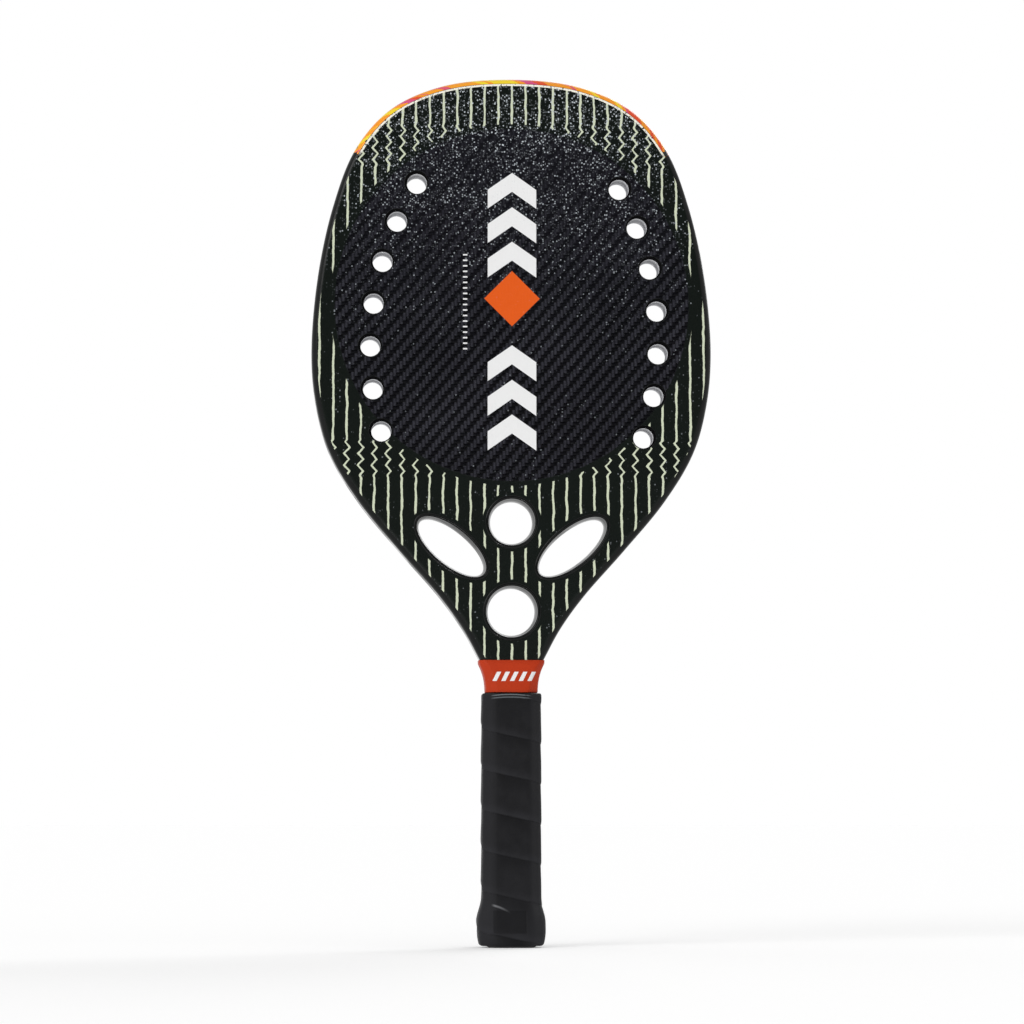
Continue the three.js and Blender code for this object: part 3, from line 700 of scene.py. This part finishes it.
def collar(material):
    """The rubber sleeve, stretched over the arms and drawn in to a thin lip at the top."""

    def ring(z, offset):
        share = (z - GRIP_TOP) / COLLAR_HEIGHT
        depth = PALLET_HALF + (RIM_HALF - PALLET_HALF) * share
        bevel = HANDLE_BEVEL + (RIM_RADIUS * BEVEL_PER_RADIUS - HANDLE_BEVEL) * share
        bevel += offset * BEVEL_PER_RADIUS
        return octagon(z, arm_width(z) + offset, depth + offset, bevel, COLLAR_CORNER + offset)

    bottom = GRIP_TOP + GAP
    round_shares = (0.1, 0.3, 0.6)
    levels = [bottom + (NECK_Z - bottom) * i / COLLAR_STEPS for i in range(COLLAR_STEPS + 1)]
    levels += [bottom + COLLAR_FOOT_ROUND * share for share in round_shares]
    levels += [NECK_Z - COLLAR_TOP_ROUND * share for share in round_shares]
    levels.sort()
    outside = []
    for z in levels:
        lip = smoothstep(z, NECK_Z - COLLAR_LIP_HEIGHT, NECK_Z)
        wall = COLLAR_WALL + (COLLAR_LIP - COLLAR_WALL) * lip
        wall -= rounding(z - bottom, COLLAR_FOOT_ROUND) + rounding(NECK_Z - z, COLLAR_TOP_ROUND)
        outside.append(ring(z, GAP + wall))
    inside = [ring(z, GAP) for z in levels[::-1]]
    return sleeve("rubber_sleeve", outside + inside, [material])


class Tree:
    """A node tree, with short calls for the maths in it."""

    def __init__(self, tree):
        self.tree = tree

    def add(self, kind, **values):
        node = self.tree.nodes.new(kind)
        for key, value in values.items():
            setattr(node, key, value)
        return node

    def link(self, value, socket):
        if isinstance(value, bpy.types.NodeSocket):
            self.tree.links.new(value, socket)
        else:
            socket.default_value = value

    def feed(self, node, *values):
        """Values or links for a node's first inputs; gives its first output."""
        for value, socket in zip(values, node.inputs):
            self.link(value, socket)
        return node.outputs[0]

    def feed_by_name(self, node, values):
        for name, value in values.items():
            self.link(value, node.inputs[name])
        return node.outputs[0]

    def math(self, operation, *values):
        return self.feed(self.add("ShaderNodeMath", operation=operation), *values)

    def minus(self, a, b):
        return self.math("SUBTRACT", a, b)

    def total(self, *values):
        result = values[0]
        for value in values[1:]:
            result = self.math("ADD", result, value)
        return result

    def product(self, *values):
        result = values[0]
        for value in values[1:]:
            result = self.math("MULTIPLY", result, value)
        return result

    def swing(self, value, size):
        """A noise of 0 to 1 as a swing of a size round zero."""
        return self.product(self.minus(value, 0.5), size)

    def fade(self, value, low, high):
        """0 below low and 1 above high, smooth between; low may lie above high."""
        node = self.add("ShaderNodeMapRange", interpolation_type="SMOOTHSTEP")
        spans = (low, high, 0, 1) if low < high else (high, low, 1, 0)
        return self.feed(node, value, *spans)

    def band(self, value, low, high, soft):
        """1 between low and high, with edges that are soft by a distance to either side."""
        above = self.fade(value, low - soft, low + soft)
        return self.product(above, self.fade(value, high + soft, high - soft))

    def near(self, value, centre, gone, full):
        """1 where the value is less than full away from the centre, and 0 further off than gone."""
        away = self.math("ABSOLUTE", self.minus(value, centre))
        return self.fade(away, gone, full)


class Material(Tree):
    """A new material, made of one Principled shader."""

    def __init__(self, name):
        self.material = bpy.data.materials.new(name)
        self.material.use_nodes = True
        super().__init__(self.material.node_tree)
        self.shader = self.tree.nodes["Principled BSDF"]

    def place(self):
        """The place on the object in millimetres, as a vector and as its x, y and z."""
        coords = self.add("ShaderNodeTexCoord").outputs["Object"]
        scale = self.add("ShaderNodeVectorMath", operation="SCALE")
        place = self.feed_by_name(scale, {"Vector": coords, "Scale": 1 / MM})
        parts = self.add("ShaderNodeSeparateXYZ")
        self.feed(parts, place)
        return place, *parts.outputs

    def vector(self, x, y, z):
        return self.feed(self.add("ShaderNodeCombineXYZ"), x, y, z)

    def noise(self, vector, scale, detail=2, roughness=0.5):
        values = {"Vector": vector, "Scale": scale, "Detail": detail, "Roughness": roughness}
        return self.feed_by_name(self.add("ShaderNodeTexNoise"), values)

    def cells(self, vector, scale, feature="F1"):
        node = self.add("ShaderNodeTexVoronoi", feature=feature)
        self.feed_by_name(node, {"Vector": vector, "Scale": scale})
        return node

    def mix(self, share, a, b):
        """Colour a with a share of colour b over it."""
        node = self.add("ShaderNodeMix", data_type="RGBA")
        self.link(share, node.inputs[0])
        self.link(a, node.inputs[6])
        self.link(b, node.inputs[7])
        return node.outputs[2]

    def ramp(self, value, stops, interpolation="LINEAR"):
        node = self.add("ShaderNodeValToRGB")
        node.color_ramp.interpolation = interpolation
        elements = node.color_ramp.elements
        while len(elements) < len(stops):
            elements.new(0.5)
        for element, (position, color) in zip(elements, stops):
            element.position = position
            element.color = color
        self.link(value, node.inputs[0])
        return node.outputs[0]

    def bump(self, height, distance, strength):
        """Relief from a height, where a height of 1 stands for a distance in millimetres."""
        values = {"Height": height, "Distance": distance * MM, "Strength": strength}
        self.link(self.feed_by_name(self.add("ShaderNodeBump"), values), self.shader.inputs["Normal"])

    def coat(self, color, roughness, specular=0.5):
        """Colour and roughness, which may vary over the surface, and a fixed specular level."""
        values = {"Base Color": color, "Roughness": roughness, "Specular IOR Level": specular}
        self.feed_by_name(self.shader, values)


def srgb(red, green, blue):
    """A colour as it is seen on screen, 0 to 255 each, as the linear values that nodes take."""

    def linear(value):
        value /= 255
        return value / 12.92 if value <= 0.04045 else ((value + 0.055) / 1.055) ** 2.4

    return (linear(red), linear(green), linear(blue), 1)


# Colours of the print
BLACK = srgb(17, 22, 19)
CREAM = srgb(207, 214, 188)
WHITE = srgb(235, 235, 235)
# Painted highlight along the top of the face
HIGHLIGHT_WHITE = srgb(248, 244, 230)
ORANGE = srgb(226, 92, 28)
GUARD_COLORS = (
    (0, srgb(248, 152, 22)),
    (0.13, srgb(246, 214, 34)),
    (0.24, srgb(250, 156, 24)),
    (0.37, srgb(214, 78, 128)),
    (0.43, srgb(226, 76, 30)),
    (0.55, srgb(244, 150, 24)),
    (0.68, srgb(222, 84, 110)),
    (0.73, srgb(248, 160, 26)),
    (0.88, srgb(245, 216, 38)),
)

# Colours of the racket's materials; the two colours of a pair are mixed in one finish
WEAVE_COLORS = (
    (0.42, srgb(2, 2, 4)),
    (0.62, srgb(13, 13, 17)),
    (0.85, srgb(34, 34, 40)),
    (1, srgb(56, 56, 63)),
)
SANDED_WEAVE = srgb(20, 20, 26)
SAND = srgb(196, 203, 209)
LACQUER = (srgb(10, 11, 11), srgb(18, 20, 19))
CUT_FOAM = (srgb(244, 244, 246), srgb(212, 213, 216))
# Painted shade deep inside the bores
DEEP_FOAM_SHADE = srgb(98, 99, 102)
MOUTH_BLACK = srgb(7, 7, 8)
COLLAR_ORANGE = (srgb(170, 46, 11), srgb(190, 58, 18))
TAPE = (srgb(18, 18, 20), srgb(28, 28, 30))
TAPE_PORES = srgb(42, 42, 45)
# Paler towards the butt, and a painted sheen towards the sides
TAPE_PALE_AND_SHEEN = srgb(38, 38, 41)
TAPE_RUBBED = srgb(52, 52, 56)
# Painted shade on each turn, under the edge of the next
TAPE_EDGE_SHADE = srgb(12, 12, 14)
# Painted highlight along the grip's top edge
TOP_EDGE_HIGHLIGHT = srgb(118, 124, 128)
# Painted shade in the sunken patch
PATCH_SHADE = srgb(9, 9, 11)
# Painted highlight along the crease
CREASE_HIGHLIGHT = srgb(122, 123, 126)

# Plain finishes: two close colours, size of the grain, roughness and depth of the relief
CUSHION = (srgb(24, 24, 25), srgb(36, 36, 38), 0.8, 0.8, 0.1)
RIGID_FOAM = (srgb(196, 186, 150), srgb(222, 214, 182), 0.7, 0.9, 0.15)
CORE_FOAM = (srgb(216, 217, 220), srgb(240, 240, 242), 0.9, 0.85, 0.12)
CAP_PLASTIC = (srgb(26, 26, 28), srgb(38, 38, 41), 0.35, 0.5, 0.04)
BLACK_TAPE = (srgb(30, 30, 32), srgb(42, 42, 45), 1.2, 0.45, 0.03)
STAPLE_STEEL = (srgb(150, 152, 155), srgb(196, 198, 200), 0.2, 0.35, 0.01)


def zigzag_bands(n, z):
    """1 in the heights where the pinstripes are folded to a zigzag."""
    bands = []
    for start, full, less, end in ZIGZAG_BANDS:
        bands.append(n.product(n.fade(z, start, full), n.fade(z, end, less)))
    return n.math("MAXIMUM", *bands)


def pinstripes(n, x, z, far, rough):
    """Pinstripes that look drawn by hand, clear of the zone and of the throat openings."""
    sway = n.noise(n.vector(n.product(x, 0.12), 0, n.product(z, 0.11)), 1, 3)
    fold = n.minus(n.math("PINGPONG", z, ZIGZAG_HALF_PITCH), ZIGZAG_HALF_PITCH / 2)
    fold = n.product(zigzag_bands(n, z), fold, ZIGZAG_SLOPE)
    moved = n.total(x, fold, n.swing(sway, STRIPE_SWAY))
    away = n.math("PINGPONG", moved, STRIPE_PITCH / 2)
    width = n.noise(n.vector(x, 0, n.product(z, 0.3)), 0.35, 1)
    away = n.total(away, n.swing(rough, 0.35), n.swing(width, -0.5))
    stripe = n.fade(away, STRIPE_HALF + 0.16, STRIPE_HALF - 0.1)
    edge = ZONE_RADIUS + ZONE_MARGIN
    clear = n.fade(far, edge, edge + 0.5)
    for centre_x, centre_z, long, short, degrees in OPENINGS:
        cosine = math.cos(math.radians(degrees))
        sine = math.sin(math.radians(degrees))
        dx = n.minus(x, centre_x)
        dz = n.minus(z, centre_z)
        a = n.total(n.product(dx, cosine), n.product(dz, sine))
        b = n.minus(n.product(dz, cosine), n.product(dx, sine))
        a = n.math("DIVIDE", a, long + STRIPE_MARGIN)
        b = n.math("DIVIDE", b, short + STRIPE_MARGIN)
        clear = n.product(clear, n.fade(n.total(n.product(a, a), n.product(b, b)), 1, 1.04))
    return n.product(stripe, clear)


def carbon_weave(n, x, y, z):
    """Two-by-two twill: the colour and the height of tows that pass over two and under two."""
    ragged = n.noise(n.vector(n.product(x, 1.3), n.product(y, 0.1), n.product(z, 1.3)), 1, 2)
    ragged = n.swing(ragged, 0.7)
    column = n.math("FLOOR", n.math("DIVIDE", n.total(x, ragged), TOW_WIDTH))
    row = n.math("FLOOR", n.math("DIVIDE", n.total(z, ragged), TOW_HEIGHT))
    turn = n.math("WRAP", n.minus(column, row), 4, 0)
    over = n.math("GREATER_THAN", turn, 1.5)
    across = n.math("SINE", n.product(n.math("FRACT", n.math("DIVIDE", x, TOW_WIDTH)), math.pi))
    along = n.math("SINE", n.product(n.math("FRACT", n.math("DIVIDE", z, TOW_HEIGHT)), math.pi))
    crown = n.total(n.product(over, across), n.product(n.minus(1, over), along))
    thread = n.noise(n.vector(x, y, z), 1.6, 3, 0.7)
    cloud = n.noise(n.vector(x, y, z), 0.025, 2)
    tows = n.total(n.product(over, 0.36), n.product(crown, 0.2))
    shade = n.total(tows, n.product(thread, 0.55), n.product(cloud, 0.2))
    return n.ramp(shade, WEAVE_COLORS), crown


def centre_print(n, x, z):
    """Shares of white, for the chevrons and the ticks beside them, and of orange, for the diamond."""
    side = n.math("ABSOLUTE", x)
    ridge = n.total(z, n.product(side, CHEVRON_SLOPE))
    first = CHEVRON_RUNS[0][0]
    bars = n.math("WRAP", n.minus(ridge, first), CHEVRON_PITCH, 0)
    bars = n.fade(bars, CHEVRON_BAR + PRINT_SOFT, CHEVRON_BAR - PRINT_SOFT)
    runs = [n.band(ridge, low, high, PRINT_SOFT) for low, high in CHEVRON_RUNS]
    inside = n.fade(side, CHEVRON_HALF_WIDTH + PRINT_SOFT, CHEVRON_HALF_WIDTH - PRINT_SOFT)
    bars = n.product(bars, inside, n.math("MAXIMUM", *runs))
    corner = n.total(side, n.math("ABSOLUTE", n.minus(z, DIAMOND_Z)))
    diamond = n.fade(corner, DIAMOND_HALF + DIAMOND_SOFT, DIAMOND_HALF - DIAMOND_SOFT)
    column = n.near(x, TICK_X, *TICK_SIDES)
    rows = n.fade(n.math("WRAP", z, TICK_PITCH, 0), *TICK_TOP)
    ticks = n.product(column, rows, n.band(z, *TICK_RUN, PRINT_SOFT))
    return n.math("MAXIMUM", bars, ticks), diamond


def grit_specks(n, place, x, z):
    """Coarse sand in the lacquer, thickest at the top and thinner towards the sides, its specks painted
    brighter towards the top as painted glints.

    Gives its share at each point, and how sanded each height is."""
    grit = n.cells(place, 0.9)
    lot = n.add("ShaderNodeSeparateColor")
    n.link(grit.outputs["Color"], lot.inputs[0])
    drawn, gleam = lot.outputs[0], lot.outputs[1]
    drift = n.noise(place, 0.06, 2)
    inner = n.fade(n.math("ABSOLUTE", x), *SAND_SIDES)
    sanded = n.product(n.fade(z, *SAND_HEIGHTS), 0.6)
    sanded = n.product(sanded, n.total(n.product(inner, 0.6), 0.4))
    amount = n.total(sanded, n.swing(drift, 0.4), 0.04)
    there = n.math("LESS_THAN", drawn, amount)
    bright = n.total(n.product(gleam, gleam, 0.85), n.product(gleam, 0.12), 0.05)
    # Painted glints: the specks are painted brighter towards the top
    upper = n.product(n.fade(z, *GLEAM_HEIGHTS), 0.5)
    top = n.product(n.fade(z, *TOP_GLEAM_HEIGHTS), 0.6)
    spot = n.fade(grit.outputs["Distance"], 0.56, 0.22)
    return n.product(there, bright, n.total(upper, top, 0.3), spot), sanded


def face_material():
    """Lacquered face: a carbon weave in a round zone, pinstripes round it, chevrons down it."""
    n = Material("printed_face")
    place, x, y, z = n.place()
    up = n.minus(z, ZONE_CENTRE_Z)
    far = n.math("SQRT", n.total(n.product(x, x), n.product(up, up)))
    zone = n.fade(far, ZONE_RADIUS + ZONE_SOFT, ZONE_RADIUS - ZONE_SOFT)
    rough = n.noise(place, 0.9, 2)
    weave, crown = carbon_weave(n, x, y, z)
    stripe = pinstripes(n, x, z, far, rough)
    white, orange = centre_print(n, x, z)
    speck, sanded = grit_specks(n, place, x, z)
    weave = n.mix(n.product(sanded, 1.1), weave, SANDED_WEAVE)

    # A thin white painted highlight line between the face and the coloured strip round the top, broken in
    # places
    depth = n.math("ABSOLUTE", y)
    highlight_line = n.product(n.fade(depth, *LINE_TO_FACE), n.fade(depth, *LINE_TO_RIM), n.fade(z, *LINE_HEIGHTS))
    highlight_line = n.product(highlight_line, n.fade(rough, 0.36, 0.42))

    color = n.mix(stripe, n.mix(zone, BLACK, weave), CREAM)
    color = n.mix(white, color, WHITE)
    color = n.mix(highlight_line, color, HIGHLIGHT_WHITE)
    color = n.mix(orange, color, ORANGE)
    bare = n.minus(1, n.product(n.math("MAXIMUM", white, orange), 0.85))
    color = n.mix(n.product(speck, bare), color, SAND)
    n.coat(color, n.total(0.16, n.product(rough, 0.14)), 0.15)
    fine_sand = n.noise(place, 1.6, 3, 0.7)
    n.bump(n.total(n.product(crown, zone, 0.5), n.product(fine_sand, 0.7), n.product(speck, 1.5)), 0.12, 0.6)
    return n.material


def rim_material():
    """Gloss black lacquer, a little cloudy, with a faint orange peel."""
    n = Material("gloss_black")
    place = n.place()[0]
    cloud = n.noise(place, 0.05, 3)
    orange_peel = n.noise(place, 0.45, 2)
    roughness = n.total(0.08, n.product(n.fade(cloud, 0.38, 0.62), 0.22))
    n.coat(n.mix(cloud, *LACQUER), roughness, 0.16)
    n.bump(orange_peel, 0.05, 0.4)
    return n.material


def bore_material():
    """Foam cut by the drill: pale grey cells, painted darker deep inside as painted shade, and black at the
    mouth.
    """
    n = Material("drilled_foam")
    place, _, y, _ = n.place()
    cells = n.cells(place, 2.2).outputs["Distance"]
    rings = n.math("SINE", n.total(n.product(y, 7), n.product(n.noise(place, 0.8, 2), 3)))
    share = n.total(n.product(cells, 0.7), n.product(rings, 0.12), 0.1)
    depth = n.minus(RIM_HALF, n.math("ABSOLUTE", y))
    # Painted shade: the foam is painted darker deeper inside the bore
    foam = n.mix(n.product(n.fade(depth, *FOAM_SHADE_DEPTHS), 0.5), n.mix(share, *CUT_FOAM), DEEP_FOAM_SHADE)
    blackened = n.fade(depth, STEP_DEPTH + MOUTH_BLACK_SOFT, STEP_DEPTH)
    n.coat(n.mix(blackened, foam, MOUTH_BLACK), 0.85, 0.08)
    n.bump(n.total(n.product(cells, -1), n.product(rings, 0.2)), 0.12, 0.5)
    return n.material


def guard_material():
    """Slanted streaks of orange and yellow with blocks of pink and red, which break up at the ends."""
    n = Material("edge_print")
    place, x, y, z = n.place()
    turn = n.math("ARCTAN2", x, n.minus(z, GUARD_CENTRE_Z))
    waver = n.product(n.noise(place, 0.5, 2), 3)
    slanted = n.total(n.product(turn, GUARD_ARC_RADIUS), n.product(y, GUARD_SLANT), waver)
    wander = n.noise(n.vector(n.product(slanted, 0.035), 0, 0), 1, 2)
    share = n.math("FRACT", n.total(n.product(slanted, 1 / GUARD_PERIOD), n.product(wander, 1.3)))
    flakes = n.noise(place, 0.22, 3, 0.6)
    worn = n.minus(n.product(n.math("ABSOLUTE", x), GUARD_WEAR), GUARD_SPARED)
    kept = n.fade(n.minus(flakes, worn), 0.02, 0.05)
    color = n.mix(kept, BLACK, n.ramp(share, GUARD_COLORS, "CONSTANT"))
    n.coat(color, n.total(0.2, n.product(flakes, 0.15)), 0.3)
    n.bump(flakes, 0.04, 0.4)
    return n.material


def wrap_material():
    """Soft polyurethane tape: near black, with a fine leathery grain, rubbed paler in places, and with
    painted shade, sheen and highlights.
    """
    n = Material("wrapped_tape")
    place, x, y, z = n.place()
    cloud = n.noise(place, 0.09, 4, 0.6)
    grain = n.cells(place, 1.9, "SMOOTH_F1").outputs["Distance"]
    pores = n.noise(place, 3.2, 2)
    color = n.mix(n.fade(cloud, 0.3, 0.75), *TAPE)
    color = n.mix(n.product(pores, 0.25), color, TAPE_PORES)
    # Paler towards the butt, and paler towards the sides as a painted sheen
    near_butt = n.fade(z, *PALE_HEIGHTS)
    side_sheen = n.fade(n.math("ABSOLUTE", x), *SHEEN_SIDES)
    color = n.mix(n.total(n.product(near_butt, 0.4), n.product(side_sheen, 0.4)), color, TAPE_PALE_AND_SHEEN)
    front = n.fade(y, *TAPE_FRONT)

    # Each turn is rubbed pale along its lower edge, and has a painted shade below the edge of the next
    above_edge = n.add("ShaderNodeAttribute", attribute_name=ABOVE_EDGE).outputs["Fac"]
    blotches = n.fade(n.noise(place, 0.045, 2), 0.35, 0.62)
    uneven = n.total(n.product(blotches, 0.6), n.product(n.fade(z, *EVEN_RUB_HEIGHTS), 0.4))
    rubbed = n.product(n.fade(above_edge, *RUB_START), n.fade(above_edge, *RUB_END), uneven, 0.34)
    color = n.mix(rubbed, color, TAPE_RUBBED)
    # Painted shade under the next turn's edge, near the middle
    middle = n.near(n.total(x, n.product(cloud, 6)), 3, *EDGE_SHADE_SIDES)
    edge_shade = n.product(n.fade(above_edge, *EDGE_SHADE_START), middle, uneven, 0.75)
    color = n.mix(edge_shade, color, TAPE_EDGE_SHADE)

    # Two pale arcs along the grip's top edge, just below the collar, painted as highlights
    side = n.minus(x, ARC_X)
    height = n.total(z, n.product(side, side, ARC_BEND))
    arcs = [n.product(n.near(height, arc_z, half, MARK_CORE), share) for arc_z, half, share in ARCS]
    # The share of the painted highlight along the top edge
    fold = n.product(n.total(*arcs), n.near(side, 0, *ARC_SIDES), front)
    color = n.mix(fold, color, TOP_EDGE_HIGHLIGHT)

    # A sunken patch near the butt, painted darker as painted shade, with a crease that runs down from its
    # upper left corner, painted pale as a painted highlight
    patch = n.near(x, PATCH_X, PATCH_HALF_WIDTH + PATCH_SOFT, PATCH_HALF_WIDTH - PATCH_SOFT)
    patch = n.product(patch, n.band(z, *PATCH_HEIGHTS, PATCH_SOFT), front)
    # The sunken patch is painted darker as painted shade
    color = n.mix(n.product(patch, 0.45), color, PATCH_SHADE)
    run = n.minus(x, CREASE_X)
    bend = n.total(z, n.product(run, CREASE_SLOPE), n.product(run, run, CREASE_BEND))
    tapered = n.product(n.fade(run, *CREASE_START), n.fade(run, *CREASE_END))
    crease = n.product(n.near(bend, CREASE_Z, CREASE_HALF, MARK_CORE), tapered, front)
    # The crease is painted pale as a painted highlight
    color = n.mix(n.product(crease, 0.75), color, CREASE_HIGHLIGHT)
    n.coat(color, n.total(0.48, n.product(cloud, 0.2)), 0.12)
    fine = n.total(grain, n.product(cloud, 1.6), n.product(pores, 0.4))
    n.bump(n.total(fine, n.product(patch, -3), n.product(crease, 2)), 0.14, 0.5)
    return n.material


def collar_material():
    """Orange rubber with a row of slanted white bars across its front."""
    n = Material("orange_rubber")
    place, x, y, z = n.place()
    cloud = n.noise(place, 0.12, 3)
    fine = n.noise(place, 2.4, 2)
    base = n.mix(n.total(n.product(cloud, 0.7), n.product(fine, 0.2)), *COLLAR_ORANGE)
    slant = n.total(x, n.product(z, -BAR_SLANT), BAR_SHIFT)
    bar = n.fade(n.math("WRAP", slant, BAR_PITCH, 0), *BAR_SIDES)
    row = n.near(slant, 0, BAR_ROW_HALF + BAR_ROW_SOFT, BAR_ROW_HALF - BAR_ROW_SOFT)
    bar = n.product(bar, n.near(z, BAR_Z, *BAR_ENDS), row, n.fade(y, 0, -1))
    n.coat(n.mix(bar, base, WHITE), n.total(0.42, n.product(fine, 0.15)), 0.16)
    n.bump(n.total(fine, cloud), 0.08, 0.4)
    return n.material


def plain_material(name, dark, light, size, roughness, depth, metallic=0, blackened=None):
    """Two close colours in a grain of a size in millimetres, painted black above a height as painted shade.
    """
    n = Material(name)
    place, _, _, z = n.place()
    grain = n.noise(place, 1 / size, 4, 0.6)
    wide = n.noise(place, 0.1 / size, 2)
    color = n.mix(n.total(n.product(grain, 0.6), n.product(wide, 0.4)), dark, light)
    # Painted shade: black above the height
    if blackened:
        color = n.mix(n.fade(z, blackened, blackened + GAP), color, BLACK)
    n.coat(color, n.total(roughness - 0.1, n.product(grain, 0.2)))
    n.shader.inputs["Metallic"].default_value = metallic
    n.bump(grain, depth, 0.5)
    return n.material


def use_material(material, *nodes):
    """The material on CAD nodes that stay as they are."""
    for node in nodes:
        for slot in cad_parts[node].material_slots:
            slot.material = material


def background_light(n):
    """1 for the rays that show the surroundings, straight, in a reflection or through glass."""
    path = n.add("ShaderNodeLightPath")
    shown = n.math("MAXIMUM", path.outputs["Is Camera Ray"], path.outputs["Is Glossy Ray"])
    return n.math("MAXIMUM", shown, path.outputs["Is Transmission Ray"])


def room():
    """The world: white where it is seen, and a soft plain light on the object."""
    world = bpy.data.worlds.new("studio")
    bpy.context.scene.world = world
    world.use_nodes = True
    n = Tree(world.node_tree)
    background = n.tree.nodes["Background"]
    background.inputs["Color"].default_value = (1, 1, 1, 1)
    strength = n.total(n.product(background_light(n), 1 - WORLD_LIGHT), WORLD_LIGHT)

    # Reflections find the front of the room dark, as it is behind a camera
    direction = n.add("ShaderNodeSeparateXYZ")
    n.link(n.add("ShaderNodeTexCoord").outputs["Generated"], direction.inputs[0])
    lit = n.fade(direction.outputs["Y"], -FRONT_NARROW, -FRONT_WIDE)
    lit = n.total(n.product(lit, 1 - FRONT_GLOSS), FRONT_GLOSS)
    gloss = n.add("ShaderNodeMix")
    n.link(n.tree.nodes["Light Path"].outputs["Is Glossy Ray"], gloss.inputs[0])
    gloss.inputs[2].default_value = 1
    n.link(lit, gloss.inputs[3])
    n.link(n.product(strength, gloss.outputs[0]), background.inputs["Strength"])


def lamps():
    for name, towards, spread, power in LAMPS:
        lamp = bpy.data.lights.new(name, "SUN")
        lamp.angle = math.radians(spread)
        lamp.energy = power
        holder = bpy.data.objects.new(name, lamp)
        holder.rotation_euler = (-Vector(towards)).to_track_quat("-Z", "Y").to_euler()
        bpy.context.scene.collection.objects.link(holder)


def floor():
    """A white floor. What it lacks to white is added only for the rays that show it."""
    bm = bmesh.new()
    bmesh.ops.create_grid(bm, x_segments=1, y_segments=1, size=FLOOR_HALF * MM)
    mesh = bpy.data.meshes.new("floor")
    bm.to_mesh(mesh)
    bm.free()
    piece = bpy.data.objects.new("floor", mesh)
    piece.visible_shadow = False
    bpy.context.scene.collection.objects.link(piece)
    n = Material("floor")
    n.coat((FLOOR_SHADE, FLOOR_SHADE, FLOOR_SHADE, 1), FLOOR_ROUGHNESS, 0)
    n.shader.inputs["Emission Color"].default_value = (1, 1, 1, 1)
    n.link(n.product(background_light(n), FLOOR_GLOW), n.shader.inputs["Emission Strength"])
    mesh.materials.append(n.material)


def camera():
    eye = bpy.data.objects.new("camera", bpy.data.cameras.new("camera"))
    place = Vector(CAMERA_PLACE)
    aim = Vector(CAMERA_AIM) - place
    eye.data.sensor_width = SENSOR
    eye.data.lens = SENSOR * aim.length / VIEW_WIDTH
    eye.location = place * MM
    eye.rotation_euler = aim.to_track_quat("-Z", "Y").to_euler()
    bpy.context.scene.collection.objects.link(eye)
    bpy.context.scene.camera = eye
    bpy.context.scene.view_settings.view_transform = "Standard"


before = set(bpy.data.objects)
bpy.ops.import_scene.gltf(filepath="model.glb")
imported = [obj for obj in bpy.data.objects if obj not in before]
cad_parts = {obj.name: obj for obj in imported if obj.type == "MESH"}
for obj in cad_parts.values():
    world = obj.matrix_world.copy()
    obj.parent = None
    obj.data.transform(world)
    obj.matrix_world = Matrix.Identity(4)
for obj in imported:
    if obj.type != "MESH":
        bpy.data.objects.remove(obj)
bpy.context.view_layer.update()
room()
lamps()
floor()
camera()

rim_black = rim_material()
body = racket_body(face_material(), rim_black, bore_material())
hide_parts("frame_tube", "front_skin", "rear_skin", "throat_bridge")
arms = frame_arms(rim_black)
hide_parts("frame_tube")
guard = edge_guard(guard_material())
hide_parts("head_edge_guard")
wrap = overgrip(wrap_material())
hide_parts("overgrip")
sleeve_piece = collar(collar_material())
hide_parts("rubber_collar")
cushion = cushion_grip(plain_material("cushion", *CUSHION))
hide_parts("base_grip")

# The pallets are painted black above the finishing tape's bottom, as painted shade where they show between
# the grip and the collar
pallet_foam = plain_material("pallet_foam", *RIGID_FOAM, blackened=FINISHING_TAPE_BOTTOM)
staples = [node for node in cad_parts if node.startswith("cap_staple")]
use_material(plain_material("rigid_foam", *RIGID_FOAM), "frame_foam", "handle_spacer")
use_material(pallet_foam, "pallet_front", "pallet_rear")
use_material(plain_material("eva_foam", *CORE_FOAM), "eva_core")
use_material(plain_material("cap_plastic", *CAP_PLASTIC), "butt_cap", "butt_door")
use_material(plain_material("black_tape", *BLACK_TAPE), "finishing_tape")
use_material(plain_material("staple_steel", *STAPLE_STEEL, metallic=1), *staples)
